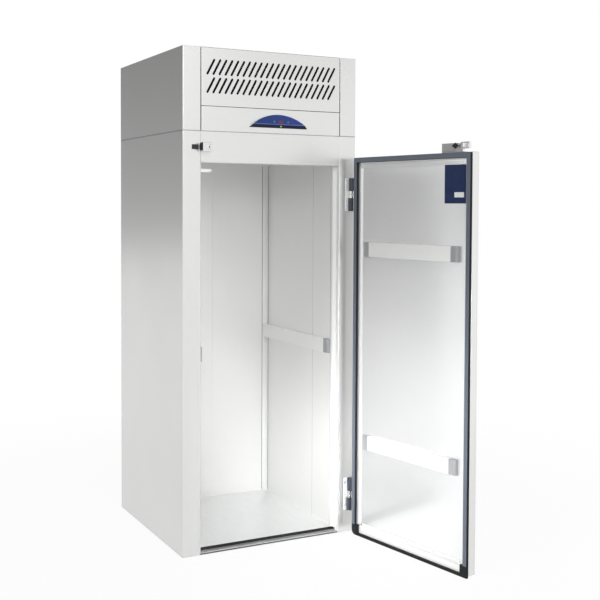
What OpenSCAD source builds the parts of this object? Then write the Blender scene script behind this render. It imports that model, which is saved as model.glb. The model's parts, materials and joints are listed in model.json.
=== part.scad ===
// Roll-in freezer: an insulated one-door cabinet with a flush floor, and a machine housing on top.
// The origin is the centre of the cabinet's base. X runs to the right, Y to the back, Z up.
// The door is drawn closed and then swung about its hinge pins to the angle at which it rests.

/* [Cabinet] */
// Width of the cabinet over its side skins
body_w = 850; // [800:5:950]
// Depth of the cabinet from its front face to its back skin
body_d = 855; // [800:5:1000]
// Height of the insulated cabinet, up to the machine housing
body_h = 1842; // [1800:2:1900]
// Height of the machine housing
housing_h = 358; // [350:2:400]
// Width of each front post
post_w = 83; // [80:1:88]
// Height of the front header, from the opening up to the machine housing
header_h = 136; // [126:2:150]
// Thickness of each side wall
side_wall = 95; // [92:1:104]
// Thickness of the back wall
back_wall = 105; // [95:1:120]
// Thickness of the ceiling
roof_wall = 92; // [86:1:110]
// Height of the chamber floor
floor_top = 20; // [18:1:26]
// Thickness of the outer sheet
skin_t = 1.2; // [0.8:0.1:1.6]
// Thickness of the inner sheet
liner_t = 1; // [0.8:0.1:1.4]

/* [Opening edge] */
// Depth of the sheet's return into the opening
lip_d = 24; // [20:1:28]
// Depth of the sloped part of the plastic breaker strip
breaker_slope_d = 16; // [12:1:20]
// Depth of the straight part of the plastic breaker strip
breaker_flat_d = 17; // [12:1:22]
// Thickness of the breaker strip
breaker_t = 5; // [4:0.5:7]
// Diameter of the heater tube behind the opening's edge
heater_dia = 6; // [5:0.5:8]
// Height of the sill in front of the chamber floor
sill_top = 8; // [6:0.5:10]
// Thickness of the sill's metal plate
sill_t = 2; // [1.5:0.5:3]
// Thickness of the floor plate
floor_plate_t = 3; // [2:0.5:4]

/* [Chamber fittings] */
// Height of a bumper rail
rail_h = 65; // [50:1:80]
// How far a bumper rail stands off its wall
rail_out = 19; // [16:0.5:19]
// Thickness of a bumper rail's sheet
rail_sheet_t = 2; // [1.5:0.5:3]
// Length of the end cap on a bumper rail
rail_cap_l = 38; // [30:1:45]
// Radius of the outer corner of an end cap
rail_cap_r = 12; // [8:1:15]
// Height of the middle of the chamber's bumper rails
wall_rail_z = 868; // [700:2:1000]
// Distance from the chamber's back wall to its rails
wall_rail_back_gap = 3; // [2:1:40]
// Distance from the front face to the front end of the chamber's rails
wall_rail_front_gap = 54; // [42:1:90]
// Width of the channel on the back wall
channel_w = 100; // [60:1:120]
// Distance from the cabinet's middle to the channel's middle, to the left
channel_shift = 32; // [0:1:60]
// How far the channel stands off the back wall
channel_out = 16; // [10:1:24]
// Gap between the chamber floor and the channel
channel_foot_gap = 28; // [20:1:60]
// Gap between the channel and the ceiling
channel_head_gap = 60; // [40:1:90]
// Radius of the channel's corners
channel_r = 14; // [8:1:20]
// Radius of the cove in the chamber's back corners
cove_r = 24; // [16:1:26]

/* [Door] */
// Angle at which the door rests open
door_open = 99.5; // [80:0.5:120]
// How far the door covers the front post on its free side
door_side_lap = 25; // [23:1:30]
// How far the door covers the header over the opening
door_head_lap = 37; // [32:1:40]
// Height of the door's lower edge
door_bottom = 10; // [8:1:14]
// Thickness of the door's leaf without its gasket
door_t = 38; // [34:1:50]
// Distance from the hinge pin's axis to the door's edge
door_pin_gap = 31; // [28:1:34]
// How far the inner panel is sunk below the door's rim
panel_sink = 6; // [4:0.5:8]
// Width of the door's rim
rim_w = 30; // [28:1:32]
// Width of the gasket
gasket_w = 23; // [18:1:24]
// Depth of the gasket when it is not pressed
gasket_d = 13.5; // [12:0.5:13.5]
// Distance from the door's edge to the gasket
gasket_inset = 1; // [0.5:0.5:4]
// Height of the bottom seal above the ground
seal_gap = 2; // [1.5:0.5:4]
// Height of the bottom seal
seal_h = 12; // [11:1:16]
// Depth of the bottom seal and its corner blocks
seal_d = 11.5; // [9:0.5:12.5]
// Height of a corner block of the bottom seal
seal_block_h = 42; // [36:1:48]
// Width of a corner block of the bottom seal
seal_block_w = 40; // [36:1:46]
// Height of the kick plate's upper edge
kick_top = 62; // [60:1:80]
// Thickness of the kick plate
kick_t = 1.5; // [1:0.5:2]
// Height of the middle of the lower bumper rail
door_rail_low_z = 444; // [380:2:520]
// Height of the middle of the upper bumper rail
door_rail_high_z = 1325; // [1200:2:1400]
// Distance from the inner panel's side to a bumper rail
door_rail_gap = 41; // [30:1:50]
// Width of the plate on the inner panel
label_w = 122; // [80:1:160]
// Height of the plate on the inner panel
label_h = 176; // [120:1:200]
// Distance from the inner panel's side to its plate
label_gap = 12; // [10:1:40]
// Distance from the inner panel's upper edge to its plate
label_head_gap = 4; // [4:1:120]

/* [Hinges] */
// Distance from the door's upper or lower edge to the middle of the hinge next to it
hinge_inset = 169; // [130:1:240]
// Distance from the front face to the hinge pin's axis
pin_out = 14; // [14:0.5:16]
// Distance from the cabinet's side to the hinge pin's axis
pin_inset = 28; // [26:1:32]
// Diameter of the hinge pin
pin_dia = 10; // [8:0.5:11]
// Diameter of a hinge knuckle
knuckle_dia = 21; // [20:0.5:22]
// Height of a hinge knuckle
knuckle_h = 60; // [50:1:66]
// Height of each of the pin's two collars
collar_h = 11; // [8:0.5:14]
// Gap between the pin's collars
collar_gap = 10; // [8:0.5:12]
// Thickness of the hinge leaves
leaf_t = 3; // [2.5:0.5:3]

/* [Latch] */
// Width of the keeper
keeper_w = 49; // [46:1:52]
// Height of the keeper
keeper_h = 37; // [34:1:42]
// How far the keeper stands off the front face
keeper_out = 25; // [24:0.5:26]
// Distance from the cabinet's side to the keeper
keeper_inset = 75; // [73:1:76]
// Height of the keeper's middle above the door's upper edge
keeper_lift = 29; // [27:1:33]
// Length of the latch case
case_l = 84; // [80:1:100]
// Height of the latch case above the door
case_h = 39; // [37:1:46]
// Length of the case's plate down the door's outer face
case_plate_l = 90; // [70:1:120]
// Travel of the claw
claw_travel = 8; // [6:0.5:9]
// Swing of the handle that draws the claw back
handle_swing = 35; // [30:1:40]
// Length of the handle from its spindle
handle_l = 190; // [150:1:240]
// Width of the handle's grip
handle_w = 22; // [18:1:28]
// How far the handle's grip stands off the latch plate
handle_out = 42; // [36:1:52]
// Diameter of the handle's spindle
spindle_dia = 12; // [10:0.5:13]
// Diameter of the lock barrel
lock_dia = 16; // [12:0.5:20]

/* [Housing front] */
// Height of the control fascia
fascia_h = 106; // [100:1:112]
// Number of slots in a louvre row
louvre_count = 22; // [16:1:22]
// Distance between neighbouring slots
louvre_pitch = 28.2; // [26:0.1:29]
// Width of a slot
louvre_slot_w = 10; // [6:0.5:11]
// Height of a slot
louvre_slot_h = 68; // [56:1:70]
// How far a slot leans to the right over its height
louvre_lean = 36; // [20:1:40]
// Height of the middle of the lower row above the fascia
louvre_row_z = 90; // [84:1:94]
// Distance between the two rows
louvre_row_gap = 79; // [76:1:82]
// Width of the controller's bezel
bezel_w = 286; // [260:1:300]
// Height of the controller's bezel
bezel_h = 59; // [54:1:64]
// How far the bezel stands off the fascia
bezel_out = 13; // [10:0.5:16]
// Distance from the cabinet's centre line to the bezel's middle
bezel_x = 28; // [10:1:40]
// Height of the bezel's lower edge above the fascia's lower edge
bezel_lift = 24; // [18:1:30]
// Height of the bezel's dark base band
band_h = 14; // [12:1:16]
// Width of the display window
display_w = 26; // [20:1:34]
// Height of the display window
display_h = 12; // [10:1:14]
// Diameter of a push button
button_dia = 9; // [7:0.5:11]
// Distance from the display's middle to a button
button_pitch = 34; // [28:1:44]
// Travel of a push button
button_travel = 0.8; // [0.4:0.1:1.2]
// Diameter of the indicator lamp
lamp_dia = 7; // [5:0.5:8]

/* [Refrigeration] */
// Diameter of the compressor's shell
compressor_dia = 160; // [140:2:180]
// Height of the compressor's shell
compressor_h = 190; // [160:2:210]
// Height of the compressor's rubber mounts
mount_h = 16; // [12:1:20]
// Width of the condenser coil
condenser_w = 340; // [300:2:360]
// Height of the condenser coil
condenser_h = 220; // [200:2:228]
// Depth of the condenser coil
condenser_d = 54; // [40:1:60]
// Diameter of the condenser fan
condenser_fan_dia = 200; // [160:2:204]
// Diameter of the evaporator fan
evaporator_fan_dia = 170; // [140:2:174]
// Running gap round a fan's blades
fan_gap = 5; // [4:0.5:8]
// Number of blades on a fan
blade_count = 5; // [4:1:7]
// Depth of a fan's blades along its shaft
blade_d = 26; // [20:1:30]
// Diameter of a fan's hub
hub_dia = 60; // [50:1:70]
// Diameter of a fan motor
motor_dia = 84; // [70:1:90]
// Length of a fan motor
motor_l = 60; // [50:1:70]
// Diameter of a fan's shaft
fan_shaft_dia = 8; // [6:0.5:10]
// Thickness of the evaporator housing's insulated walls
evaporator_wall = 40; // [34:1:44]
// Height of the evaporator housing
evaporator_h = 300; // [280:2:320]
// Outer diameter of the suction pipe
suction_dia = 16; // [12:0.5:18]
// Outer diameter of the liquid pipe
liquid_dia = 10; // [8:0.5:12]

/* [Hidden] */
$fn = 48;

// Clearance between pieces that lie side by side without touching
seat_gap = 0.3;
// Radial clearance of a running fit
run_gap = 0.05;
// Overshoot of a cutting solid past the face that it cuts
cut = 1;

// The cabinet's outer and inner limits
half_w = body_w / 2;
front_y = -body_d / 2;
back_y = body_d / 2;
total_h = body_h + housing_h;
opening_top = body_h - header_h;
open_half = half_w - post_w;
chamber_half = half_w - side_wall;
chamber_back = back_y - back_wall;
ceiling_z = body_h - roof_wall;
lip_back = front_y + lip_d;
slope_back = lip_back + breaker_slope_d;
chamber_front = slope_back + breaker_flat_d;
nose_t = 3;
nose_y = slope_back - nose_t;

// The door's limits when it is closed
pin_x = half_w - pin_inset;
pin_y = front_y - pin_out;
door_right = pin_x - door_pin_gap;
door_left = -open_half - door_side_lap;
door_top = opening_top + door_head_lap;
gasket_gap = 0.5;
seat_y = front_y - gasket_gap;
rim_y = seat_y - gasket_d;
outer_y = rim_y - door_t;
panel_y = rim_y - panel_sink;
panel_left = door_left + rim_w;
panel_right = door_right - rim_w;
panel_top = door_top - rim_w + gasket_inset;
panel_bottom = door_bottom + rim_w - gasket_inset;
gasket_left = door_left + gasket_inset;
gasket_right = door_right - gasket_inset;
gasket_top = door_top - gasket_inset;
hinge_zs = [door_bottom + hinge_inset, door_top - hinge_inset];
hinge_half = knuckle_h + collar_h + collar_gap / 2;

// The latch, on top of the door near its free edge
keeper_z = door_top + keeper_lift;
keeper_left = -half_w + keeper_inset;
keeper_right = keeper_left + keeper_w;
keeper_front = front_y - keeper_out;
lip_t = 4.5;
lip_w = 36;
pocket_h = 22;
pocket_front = keeper_front + lip_t;
pocket_back = front_y - leaf_t;
case_gap = 31;
case_foot_l = 40;
case_setback = 4;
case_left = keeper_right + case_gap;
case_right = case_left + case_l;
case_inner_y = rim_y - case_setback;
case_plate_t = 4;
case_outer_y = outer_y - case_plate_t;
case_base_t = 3;
case_wall = 3;
case_foot = door_top + case_base_t;
case_top = door_top + case_h;
spindle_inset = 44;
spindle_lift = 12;
spindle_x = case_left + spindle_inset;
spindle_z = case_foot + spindle_lift;
stem_h = 12;
stem_d = 8;
stem_z = keeper_z - stem_h / 2;
stem_y = (case_inner_y + outer_y) / 2 - 2;
crank_r = keeper_z - spindle_z;
crank_t = 4;
crank_pin_dia = 5;
crank_slot_w = 6.6;
lock_shift = 26;
lock_drop = 62;
lock_x = spindle_x + lock_shift;
lock_z = spindle_z - lock_drop;

// The machine housing
fascia_top = body_h + fascia_h;
panel_gap = 0.5;
flange_d = 15;
bezel_z = body_h + bezel_lift;
bezel_r = (pow(bezel_w / 2, 2) + pow(bezel_h, 2)) / (2 * bezel_h);
display_shift = 9;
display_lift = 27;
display_x = bezel_x + display_shift;
display_z = bezel_z + display_lift;
ridge_z = bezel_z + band_h;
unit_floor = body_h;
tray_t = 2;
coil_x0 = -40;
coil_front_gap = 24;
coil_foot_gap = 8;
coil_y0 = front_y + coil_front_gap;
coil_z0 = fascia_top + coil_foot_gap;
coil_back = coil_y0 + condenser_d;
condenser_fan_x = coil_x0 + condenser_w / 2;
condenser_fan_z = coil_z0 + condenser_h / 2;
shroud_t = 2;
shroud_back = coil_back + shroud_t;
shroud_gap = 6;
condenser_fan_y = shroud_back + shroud_gap;
compressor_side_gap = 200;
compressor_front_gap = 210;
compressor_x = -half_w + compressor_side_gap;
compressor_y = front_y + compressor_front_gap;
evaporator_reach = 360;
evaporator_back_lap = 60;
evaporator_half = chamber_half;
evaporator_y0 = chamber_back - evaporator_reach;
evaporator_y1 = chamber_back + evaporator_back_lap;
duct_x = 0;
duct_wall_gap = 9;
duct_r = evaporator_fan_dia / 2 + fan_gap;
duct_y = evaporator_y0 + evaporator_wall + duct_r + duct_wall_gap;
outlet_side_gap = 70;
outlet_back_gap = 14;
outlet_d = 36;
outlet_half = evaporator_half - outlet_side_gap;
outlet_y1 = chamber_back - outlet_back_gap;
outlet_y0 = outlet_y1 - outlet_d;
duct_fan_lift = 8;
evaporator_fan_z = body_h + duct_fan_lift;
cold_coil_d = 62;
cold_coil_gap = 10;
coil_rear = outlet_y0 - cold_coil_gap;
coil_front = coil_rear - cold_coil_d;

// The plate on the inner panel, and how far a hinge's frame leaf reaches to each side of its pin
label_t = 0.8;
label_z = panel_top - label_head_gap - label_h;
leaf_in = 24;
leaf_out = 12;

// The compressor's terminal box, and the heights of the two pipes over the housing's floor
terminal_box = [30, 60, 54];
terminal_sink = 6;
suction_lift = 184;
liquid_lift = 150;

// A block between two corners
module block(low, high) {
    translate(low) cube(high - low);
}

// A copy on each side of the cabinet's middle plane
module both_sides() {
    children();
    mirror([1, 0, 0]) children();
}

// The closed door's pieces, swung open about the hinge pins
module swung() {
    translate([pin_x, pin_y, 0]) rotate([0, 0, door_open]) translate([-pin_x, -pin_y, 0]) children();
}

// A flat rectangle with round corners, from its middle
module round_rect(size, r) {
    union() {
        square([size.x - 2 * r, size.y], center = true);
        square([size.x, size.y - 2 * r], center = true);
        for (sx = [-1, 1], sy = [-1, 1])
            translate([sx * (size.x / 2 - r), sy * (size.y / 2 - r)]) circle(r);
    }
}

// Turns a flat shape in X and Z into a plate that runs from y0 back to y1
module along_y(y0, y1) {
    translate([0, y1, 0]) rotate([90, 0, 0]) linear_extrude(y1 - y0) children();
}

// Turns a flat shape in Y and Z into a bar that runs from x0 to x1
module along_x(x0, x1) {
    translate([x0, 0, 0]) rotate([90, 0, 90]) linear_extrude(x1 - x0) children();
}

// An upright sheet on the right-hand side that folds round the front post, from z0 to z1
module corner_sheet(z0, z1) {
    translate([0, 0, z0]) linear_extrude(z1 - z0) polygon([
        [half_w, back_y - skin_t], [half_w, front_y], [open_half, front_y], [open_half, lip_back],
        [open_half + skin_t, lip_back], [open_half + skin_t, front_y + skin_t],
        [half_w - skin_t, front_y + skin_t], [half_w - skin_t, back_y - skin_t]
    ]);
}

// The heater tube lies in the corner behind the front sheet, next to the opening's edge
heater_reach = skin_t + (heater_dia + seat_gap) / 2;

// The tube passes from post to header through a hole in each post's return
module side_skins() {
    color("gainsboro") both_sides() difference() {
        corner_sheet(skin_t, body_h - skin_t);
        translate([open_half - cut, front_y + heater_reach, opening_top + heater_reach])
            rotate([0, 90, 0]) cylinder(d = heater_dia + 2 * seat_gap, h = skin_t + 2 * cut);
    }
}

module back_skin() {
    color("gainsboro") block([-half_w, back_y - skin_t, skin_t], [half_w, back_y, body_h - skin_t]);
}

// The front sheet over the opening, folded in along its lower edge
module header_skin() {
    color("gainsboro") along_x(-open_half + panel_gap / 2, open_half - panel_gap / 2) polygon([
        [front_y, opening_top], [front_y, body_h - skin_t], [front_y + skin_t, body_h - skin_t],
        [front_y + skin_t, opening_top + skin_t], [lip_back, opening_top + skin_t],
        [lip_back, opening_top]
    ]);
}

module base_pan() {
    color("darkgray") block([-half_w, front_y, 0], [half_w, back_y, skin_t]);
}

// The two holes in the ceiling: the fan's inlet and the cold air's outlet
module air_holes(z0, z1) {
    translate([duct_x, duct_y, z0 - cut]) cylinder(r = duct_r, h = z1 - z0 + 2 * cut);
    block([-outlet_half, outlet_y0, z0 - cut], [outlet_half, outlet_y1, z1 + cut]);
}

module roof_skin() {
    color("silver") difference() {
        block([-half_w, front_y, body_h - skin_t], [half_w, back_y, body_h]);
        air_holes(body_h - skin_t, body_h);
    }
}

// The insulation of each wall is a solid of its own, cut round what it is foamed against
module wall_foam() {
    foam_x = chamber_half + liner_t;
    foam_top = body_h - skin_t;
    post_x = open_half + skin_t + heater_dia + seat_gap;
    color("khaki") {
        both_sides() translate([0, 0, skin_t]) linear_extrude(foam_top - skin_t) polygon([
            [post_x, front_y + skin_t], [half_w - skin_t, front_y + skin_t],
            [half_w - skin_t, back_y - skin_t], [foam_x, back_y - skin_t],
            [foam_x, chamber_front], [post_x, chamber_front]
        ]);
        block([-foam_x, chamber_back + liner_t, skin_t], [foam_x, back_y - skin_t, foam_top]);
        difference() {
            block(
                [-foam_x, chamber_front - breaker_t, ceiling_z + liner_t],
                [foam_x, chamber_back + liner_t, foam_top]
            );
            air_holes(ceiling_z, foam_top);
        }
        block(
            [-open_half, front_y + skin_t, opening_top + breaker_t + heater_dia],
            [open_half, chamber_front - breaker_t, foam_top]
        );
        block(
            [-foam_x, slope_back, skin_t],
            [foam_x, chamber_back, floor_top - floor_plate_t]
        );
    }
}

// One sheet folded round the chamber's sides and back
module wall_liner() {
    color("whitesmoke") difference() {
        block(
            [-chamber_half - liner_t, chamber_front, floor_top - floor_plate_t],
            [chamber_half + liner_t, chamber_back + liner_t, ceiling_z]
        );
        block(
            [-chamber_half, chamber_front - cut, floor_top - floor_plate_t - cut],
            [chamber_half, chamber_back, ceiling_z + cut]
        );
    }
}

// The ceiling sheet, with the inlet's ring of slots left open as one round hole, and the outlet
module ceiling_liner() {
    color("whitesmoke") difference() {
        block(
            [-chamber_half - liner_t, chamber_front, ceiling_z],
            [chamber_half + liner_t, chamber_back + liner_t, ceiling_z + liner_t]
        );
        air_holes(ceiling_z, ceiling_z + liner_t);
    }
}

module floor_plate() {
    color("whitesmoke") block(
        [-chamber_half, slope_back, floor_top - floor_plate_t],
        [chamber_half, chamber_back, floor_top]
    );
}

// The plastic base of the sill between the posts, with a nosing up to the chamber floor
module threshold_base() {
    color("black") along_x(-open_half, open_half) polygon([
        [front_y, skin_t], [front_y, sill_top - sill_t], [nose_y, sill_top - sill_t],
        [nose_y, floor_top], [slope_back, floor_top], [slope_back, skin_t]
    ]);
}

// The metal plate on the sill
module threshold_sill() {
    color("silver") block([-open_half, front_y, sill_top - sill_t], [open_half, nose_y, sill_top]);
}

// White plastic strips that keep the outer sheet apart from the inner one, round three sides
module opening_breaker() {
    color("white") {
        both_sides() translate([0, 0, floor_top]) linear_extrude(opening_top - floor_top) polygon([
            [open_half, lip_back], [chamber_half, slope_back], [chamber_half, chamber_front],
            [chamber_half + breaker_t, chamber_front], [chamber_half + breaker_t, slope_back],
            [open_half + skin_t, lip_back + breaker_t / 2], [open_half + skin_t, lip_back]
        ]);
        block(
            [-chamber_half, lip_back, opening_top],
            [chamber_half, chamber_front, opening_top + breaker_t]
        );
        block(
            [-chamber_half, chamber_front - breaker_t, opening_top + breaker_t],
            [chamber_half, chamber_front, ceiling_z]
        );
    }
}

// The heater tube runs up one post, across the header and down the other
module frame_heater() {
    tube_x = open_half + heater_reach;
    tube_y = front_y + heater_reach;
    tube_z = opening_top + heater_reach;
    color("sienna") union() {
        both_sides() translate([tube_x, tube_y, floor_top])
            cylinder(d = heater_dia, h = tube_z - floor_top);
        both_sides() translate([tube_x, tube_y, tube_z]) sphere(d = heater_dia);
        translate([-tube_x, tube_y, tube_z]) rotate([0, 90, 0]) cylinder(d = heater_dia, h = 2 * tube_x);
    }
}

// The plan of the right-hand back corner's hollow fillet, grown by a clearance
module cove_plan(gap) {
    difference() {
        translate([chamber_half - cove_r - gap, chamber_back - cove_r - gap]) square(cove_r + gap);
        translate([chamber_half - cove_r, chamber_back - cove_r]) circle(cove_r - liner_t - gap);
    }
}

// A hollow fillet up each back corner of the chamber
module corner_coves() {
    color("white") both_sides() translate([0, 0, floor_top])
        linear_extrude(ceiling_z - floor_top) cove_plan(0);
}

module rear_wall_channel() {
    foot = floor_top + channel_foot_gap;
    head = ceiling_z - channel_head_gap;
    color("whitesmoke") along_y(chamber_back - channel_out, chamber_back)
        translate([-channel_shift, (foot + head) / 2]) round_rect([channel_w, head - foot], channel_r);
}

// A bumper rail along X, its back on the plane y = 0 and its face towards +Y
module rail_channel(length) {
    translate([-length / 2, 0, -rail_h / 2]) difference() {
        cube([length, rail_out, rail_h]);
        translate([-cut, -cut, rail_sheet_t])
            cube([length + 2 * cut, rail_out - rail_sheet_t + cut, rail_h - 2 * rail_sheet_t]);
    }
}

// The solid cap at the +X end of such a rail, with a round outer corner
module rail_cap(length) {
    translate([length / 2, 0, -rail_h / 2]) linear_extrude(rail_h) union() {
        square([rail_cap_l, rail_out - rail_cap_r]);
        square([rail_cap_l - rail_cap_r, rail_out]);
        intersection() {
            square([rail_cap_l, rail_out]);
            translate([rail_cap_l - rail_cap_r, rail_out - rail_cap_r]) circle(rail_cap_r);
        }
    }
}

wall_rail_y0 = front_y + wall_rail_front_gap + rail_cap_l;
wall_rail_y1 = chamber_back - wall_rail_back_gap;
wall_rail_l = wall_rail_y1 - wall_rail_y0;

// Puts a rail on each side wall of the chamber
module on_chamber_walls() {
    both_sides() translate([chamber_half, (wall_rail_y0 + wall_rail_y1) / 2, wall_rail_z])
        rotate([0, 0, 90]) children();
}

// The rails run back to the chamber's corners, where they are cut round the fillets
module wall_bumper_rails() {
    color("white") difference() {
        on_chamber_walls() rail_channel(wall_rail_l);
        both_sides() translate([0, 0, wall_rail_z - rail_h / 2 - cut])
            linear_extrude(rail_h + 2 * cut) cove_plan(seat_gap);
    }
}

module wall_bumper_caps() {
    color("lightgray") on_chamber_walls() mirror([1, 0, 0]) rail_cap(wall_rail_l);
}

// The plan of a grid of rings and two cross bars under the ceiling's round hole
module fan_guard_plan() {
    rings = 4;
    ring_w = 5;
    reach = duct_r + 10;
    union() {
        for (i = [1 : rings]) difference() {
            circle(reach * i / rings);
            circle(reach * i / rings - ring_w);
        }
        square([2 * reach - ring_w, ring_w], center = true);
        square([ring_w, 2 * reach - ring_w], center = true);
    }
}

// The guard of the fan's inlet, and a frame with bars across the long outlet
module ceiling_grilles() {
    grille_t = 2;
    edge = 8;
    bars = 15;
    pitch = 2 * outlet_half / bars;
    color("silver") translate([0, 0, ceiling_z - grille_t]) {
        translate([duct_x, duct_y]) linear_extrude(grille_t) fan_guard_plan();
        difference() {
            block(
                [-outlet_half - edge, outlet_y0 - edge, 0],
                [outlet_half + edge, outlet_y1 + edge / 2, grille_t]
            );
            for (i = [0 : bars - 1]) block(
                [-outlet_half + i * pitch + 2, outlet_y0, -cut],
                [-outlet_half + (i + 1) * pitch - 2, outlet_y1, grille_t + cut]
            );
        }
    }
}

// The keeper's pocket is open at both sides, and at the front beside the lip
module keeper() {
    color("silver") difference() {
        block(
            [keeper_left, keeper_front, keeper_z - keeper_h / 2],
            [keeper_right, front_y, keeper_z + keeper_h / 2]
        );
        block(
            [keeper_left - cut, pocket_front, keeper_z - pocket_h / 2],
            [keeper_right + cut, pocket_back, keeper_z + pocket_h / 2]
        );
        block(
            [keeper_left + lip_w, keeper_front - cut, keeper_z - pocket_h / 2],
            [keeper_right + cut, pocket_front + cut, keeper_z + pocket_h / 2]
        );
    }
}

// A round piece on the hinge pin's axis, from z0 to z1
module on_pin(dia, z0, z1) {
    translate([pin_x, pin_y, z0]) cylinder(d = dia, h = z1 - z0);
}

// The frame's leaf carries the lower knuckle, and the pin stands in it
module hinge_frame_leaves() {
    color("dimgray") for (z = hinge_zs) difference() {
        union() {
            block(
                [pin_x - leaf_in, front_y - leaf_t, z - hinge_half],
                [pin_x + leaf_out, front_y, z + hinge_half]
            );
            block(
                [pin_x - knuckle_dia / 2, pin_y, z - hinge_half],
                [pin_x + knuckle_dia / 2, front_y - leaf_t, z - hinge_half + knuckle_h]
            );
            on_pin(knuckle_dia, z - hinge_half, z - hinge_half + knuckle_h);
        }
        on_pin(pin_dia + 2 * run_gap, z - hinge_half - cut, z - hinge_half + knuckle_h + cut);
    }
}

// Each pin has a head under the lower knuckle, and two bright collars that carry the upper one
module hinge_pins() {
    head_h = 4;
    color("silver") for (z = hinge_zs) union() {
        on_pin(pin_dia, z - hinge_half - head_h, z + hinge_half - head_h);
        on_pin(pin_dia + 6, z - hinge_half - head_h, z - hinge_half);
        on_pin(pin_dia + 5, z - collar_gap / 2, z + collar_gap / 2);
        for (side = [-1, 1]) on_pin(
            knuckle_dia,
            z + side * (collar_gap + collar_h) / 2 - collar_h / 2,
            z + side * (collar_gap + collar_h) / 2 + collar_h / 2
        );
    }
}

// The door's leaf carries the upper knuckle on an arm, and is fixed to the door's edge
module hinge_door_leaves() {
    arm_y = pin_y - 10;
    color("dimgray") swung() for (z = hinge_zs) difference() {
        union() {
            block(
                [door_right, outer_y + leaf_t, z - hinge_half],
                [door_right + leaf_t, rim_y - leaf_t, z + hinge_half]
            );
            block([door_right, arm_y, z + hinge_half - knuckle_h], [pin_x, pin_y + 4, z + hinge_half]);
            on_pin(knuckle_dia, z + hinge_half - knuckle_h, z + hinge_half);
        }
        on_pin(pin_dia + 2 * run_gap, z + hinge_half - knuckle_h - cut, z + hinge_half - 3);
    }
}

module housing_sides() {
    color("lightgray") both_sides() corner_sheet(body_h, total_h - skin_t);
}

// The back sheet of the housing, with rows of slots for the warm air
module housing_back_panel() {
    slot_l = 90;
    slot_h = 7;
    color("lightgray") difference() {
        block([-half_w, back_y - skin_t, body_h], [half_w, back_y, total_h - skin_t]);
        for (row = [0 : 5], column = [-2 : 2])
            along_y(back_y - skin_t - cut, back_y + cut)
                translate([column * (slot_l + 25), body_h + 190 + row * 22])
                    round_rect([slot_l, slot_h], slot_h / 2 - 0.1);
        translate([gland_x, back_y + cut, gland_z]) rotate([90, 0, 0])
            cylinder(d = gland_dia + 2 * run_gap, h = skin_t + 2 * cut);
    }
}

module housing_top_panel() {
    color("lightgray") block([-half_w, front_y, total_h - skin_t], [half_w, back_y, total_h]);
}

// A front sheet of the housing between z0 and z1, with folded flanges round its edge
module front_tray(z0, z1) {
    x1 = open_half - panel_gap / 2;
    difference() {
        block([-x1, front_y, z0], [x1, front_y + flange_d, z1]);
        block(
            [-x1 + skin_t, front_y + skin_t, z0 + skin_t],
            [x1 - skin_t, front_y + flange_d + cut, z1 - skin_t]
        );
    }
}

// One leaning slot with round ends, from the middle of its row's place
module louvre_slot() {
    lean = atan2(louvre_lean, louvre_slot_h);
    straight = sqrt(pow(louvre_lean, 2) + pow(louvre_slot_h, 2)) - louvre_slot_w;
    rotate(-lean) union() {
        square([louvre_slot_w, straight], center = true);
        for (end = [-1, 1]) translate([0, end * straight / 2]) circle(d = louvre_slot_w, $fn = 16);
    }
}

module louvre_panel() {
    color("gainsboro") difference() {
        front_tray(fascia_top + panel_gap, total_h - skin_t - panel_gap);
        for (row = [0, 1], i = [0 : louvre_count - 1])
            along_y(front_y - cut, front_y + skin_t + cut)
                translate([
                    (i - (louvre_count - 1) / 2) * louvre_pitch,
                    fascia_top + louvre_row_z + row * louvre_row_gap
                ]) louvre_slot();
    }
}

module control_fascia() {
    window_w = display_w + 2 * button_pitch;
    color("gainsboro") difference() {
        front_tray(body_h, fascia_top);
        block(
            [display_x - window_w / 2, front_y - cut, display_z - display_h / 2],
            [display_x + window_w / 2, front_y + skin_t + cut, display_z + display_h / 2]
        );
    }
}

// The controller's face is a slice of a circle, thickest along the ridge over its base band
module controller_bezel() {
    edge_t = 2;
    color([0.13, 0.18, 0.45]) difference() {
        intersection() {
            along_y(front_y - bezel_out - cut, front_y) intersection() {
                translate([bezel_x, bezel_z + bezel_h - bezel_r]) circle(bezel_r, $fn = 96);
                translate([bezel_x - bezel_w / 2, bezel_z]) square([bezel_w, bezel_h + cut]);
            }
            along_x(bezel_x - bezel_w / 2 - cut, bezel_x + bezel_w / 2 + cut) polygon([
                [front_y, bezel_z], [front_y - edge_t, bezel_z], [front_y - bezel_out, ridge_z],
                [front_y - edge_t, bezel_z + bezel_h], [front_y, bezel_z + bezel_h]
            ]);
        }
        block(
            [display_x - display_w / 2, front_y - bezel_out - cut, display_z - display_h / 2],
            [display_x + display_w / 2, front_y + cut, display_z + display_h / 2]
        );
        for (side = [-1, 1]) button_place(side) translate([0, 0, -cut])
            cylinder(d = button_dia + 2 * seat_gap, h = bezel_out + 2 * cut);
        lamp_place() translate([0, 0, -cut])
            cylinder(d = lamp_dia + 2 * run_gap, h = bezel_out + 2 * cut);
    }
}

// The face over the ridge leans back by this angle
face_lean = atan2(bezel_out - 2, bezel_h - band_h);

// Puts a round piece on a button's place, its axis square to the front
module button_place(side) {
    translate([display_x + side * button_pitch, front_y, display_z]) rotate([90, 0, 0]) children();
}

module lamp_place() {
    translate([display_x, front_y, bezel_z + band_h / 2]) rotate([90, 0, 0]) children();
}

// How far the bezel's face stands off the fascia at the height of the display
face_out = bezel_out - (display_z - ridge_z) * tan(face_lean);

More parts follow.
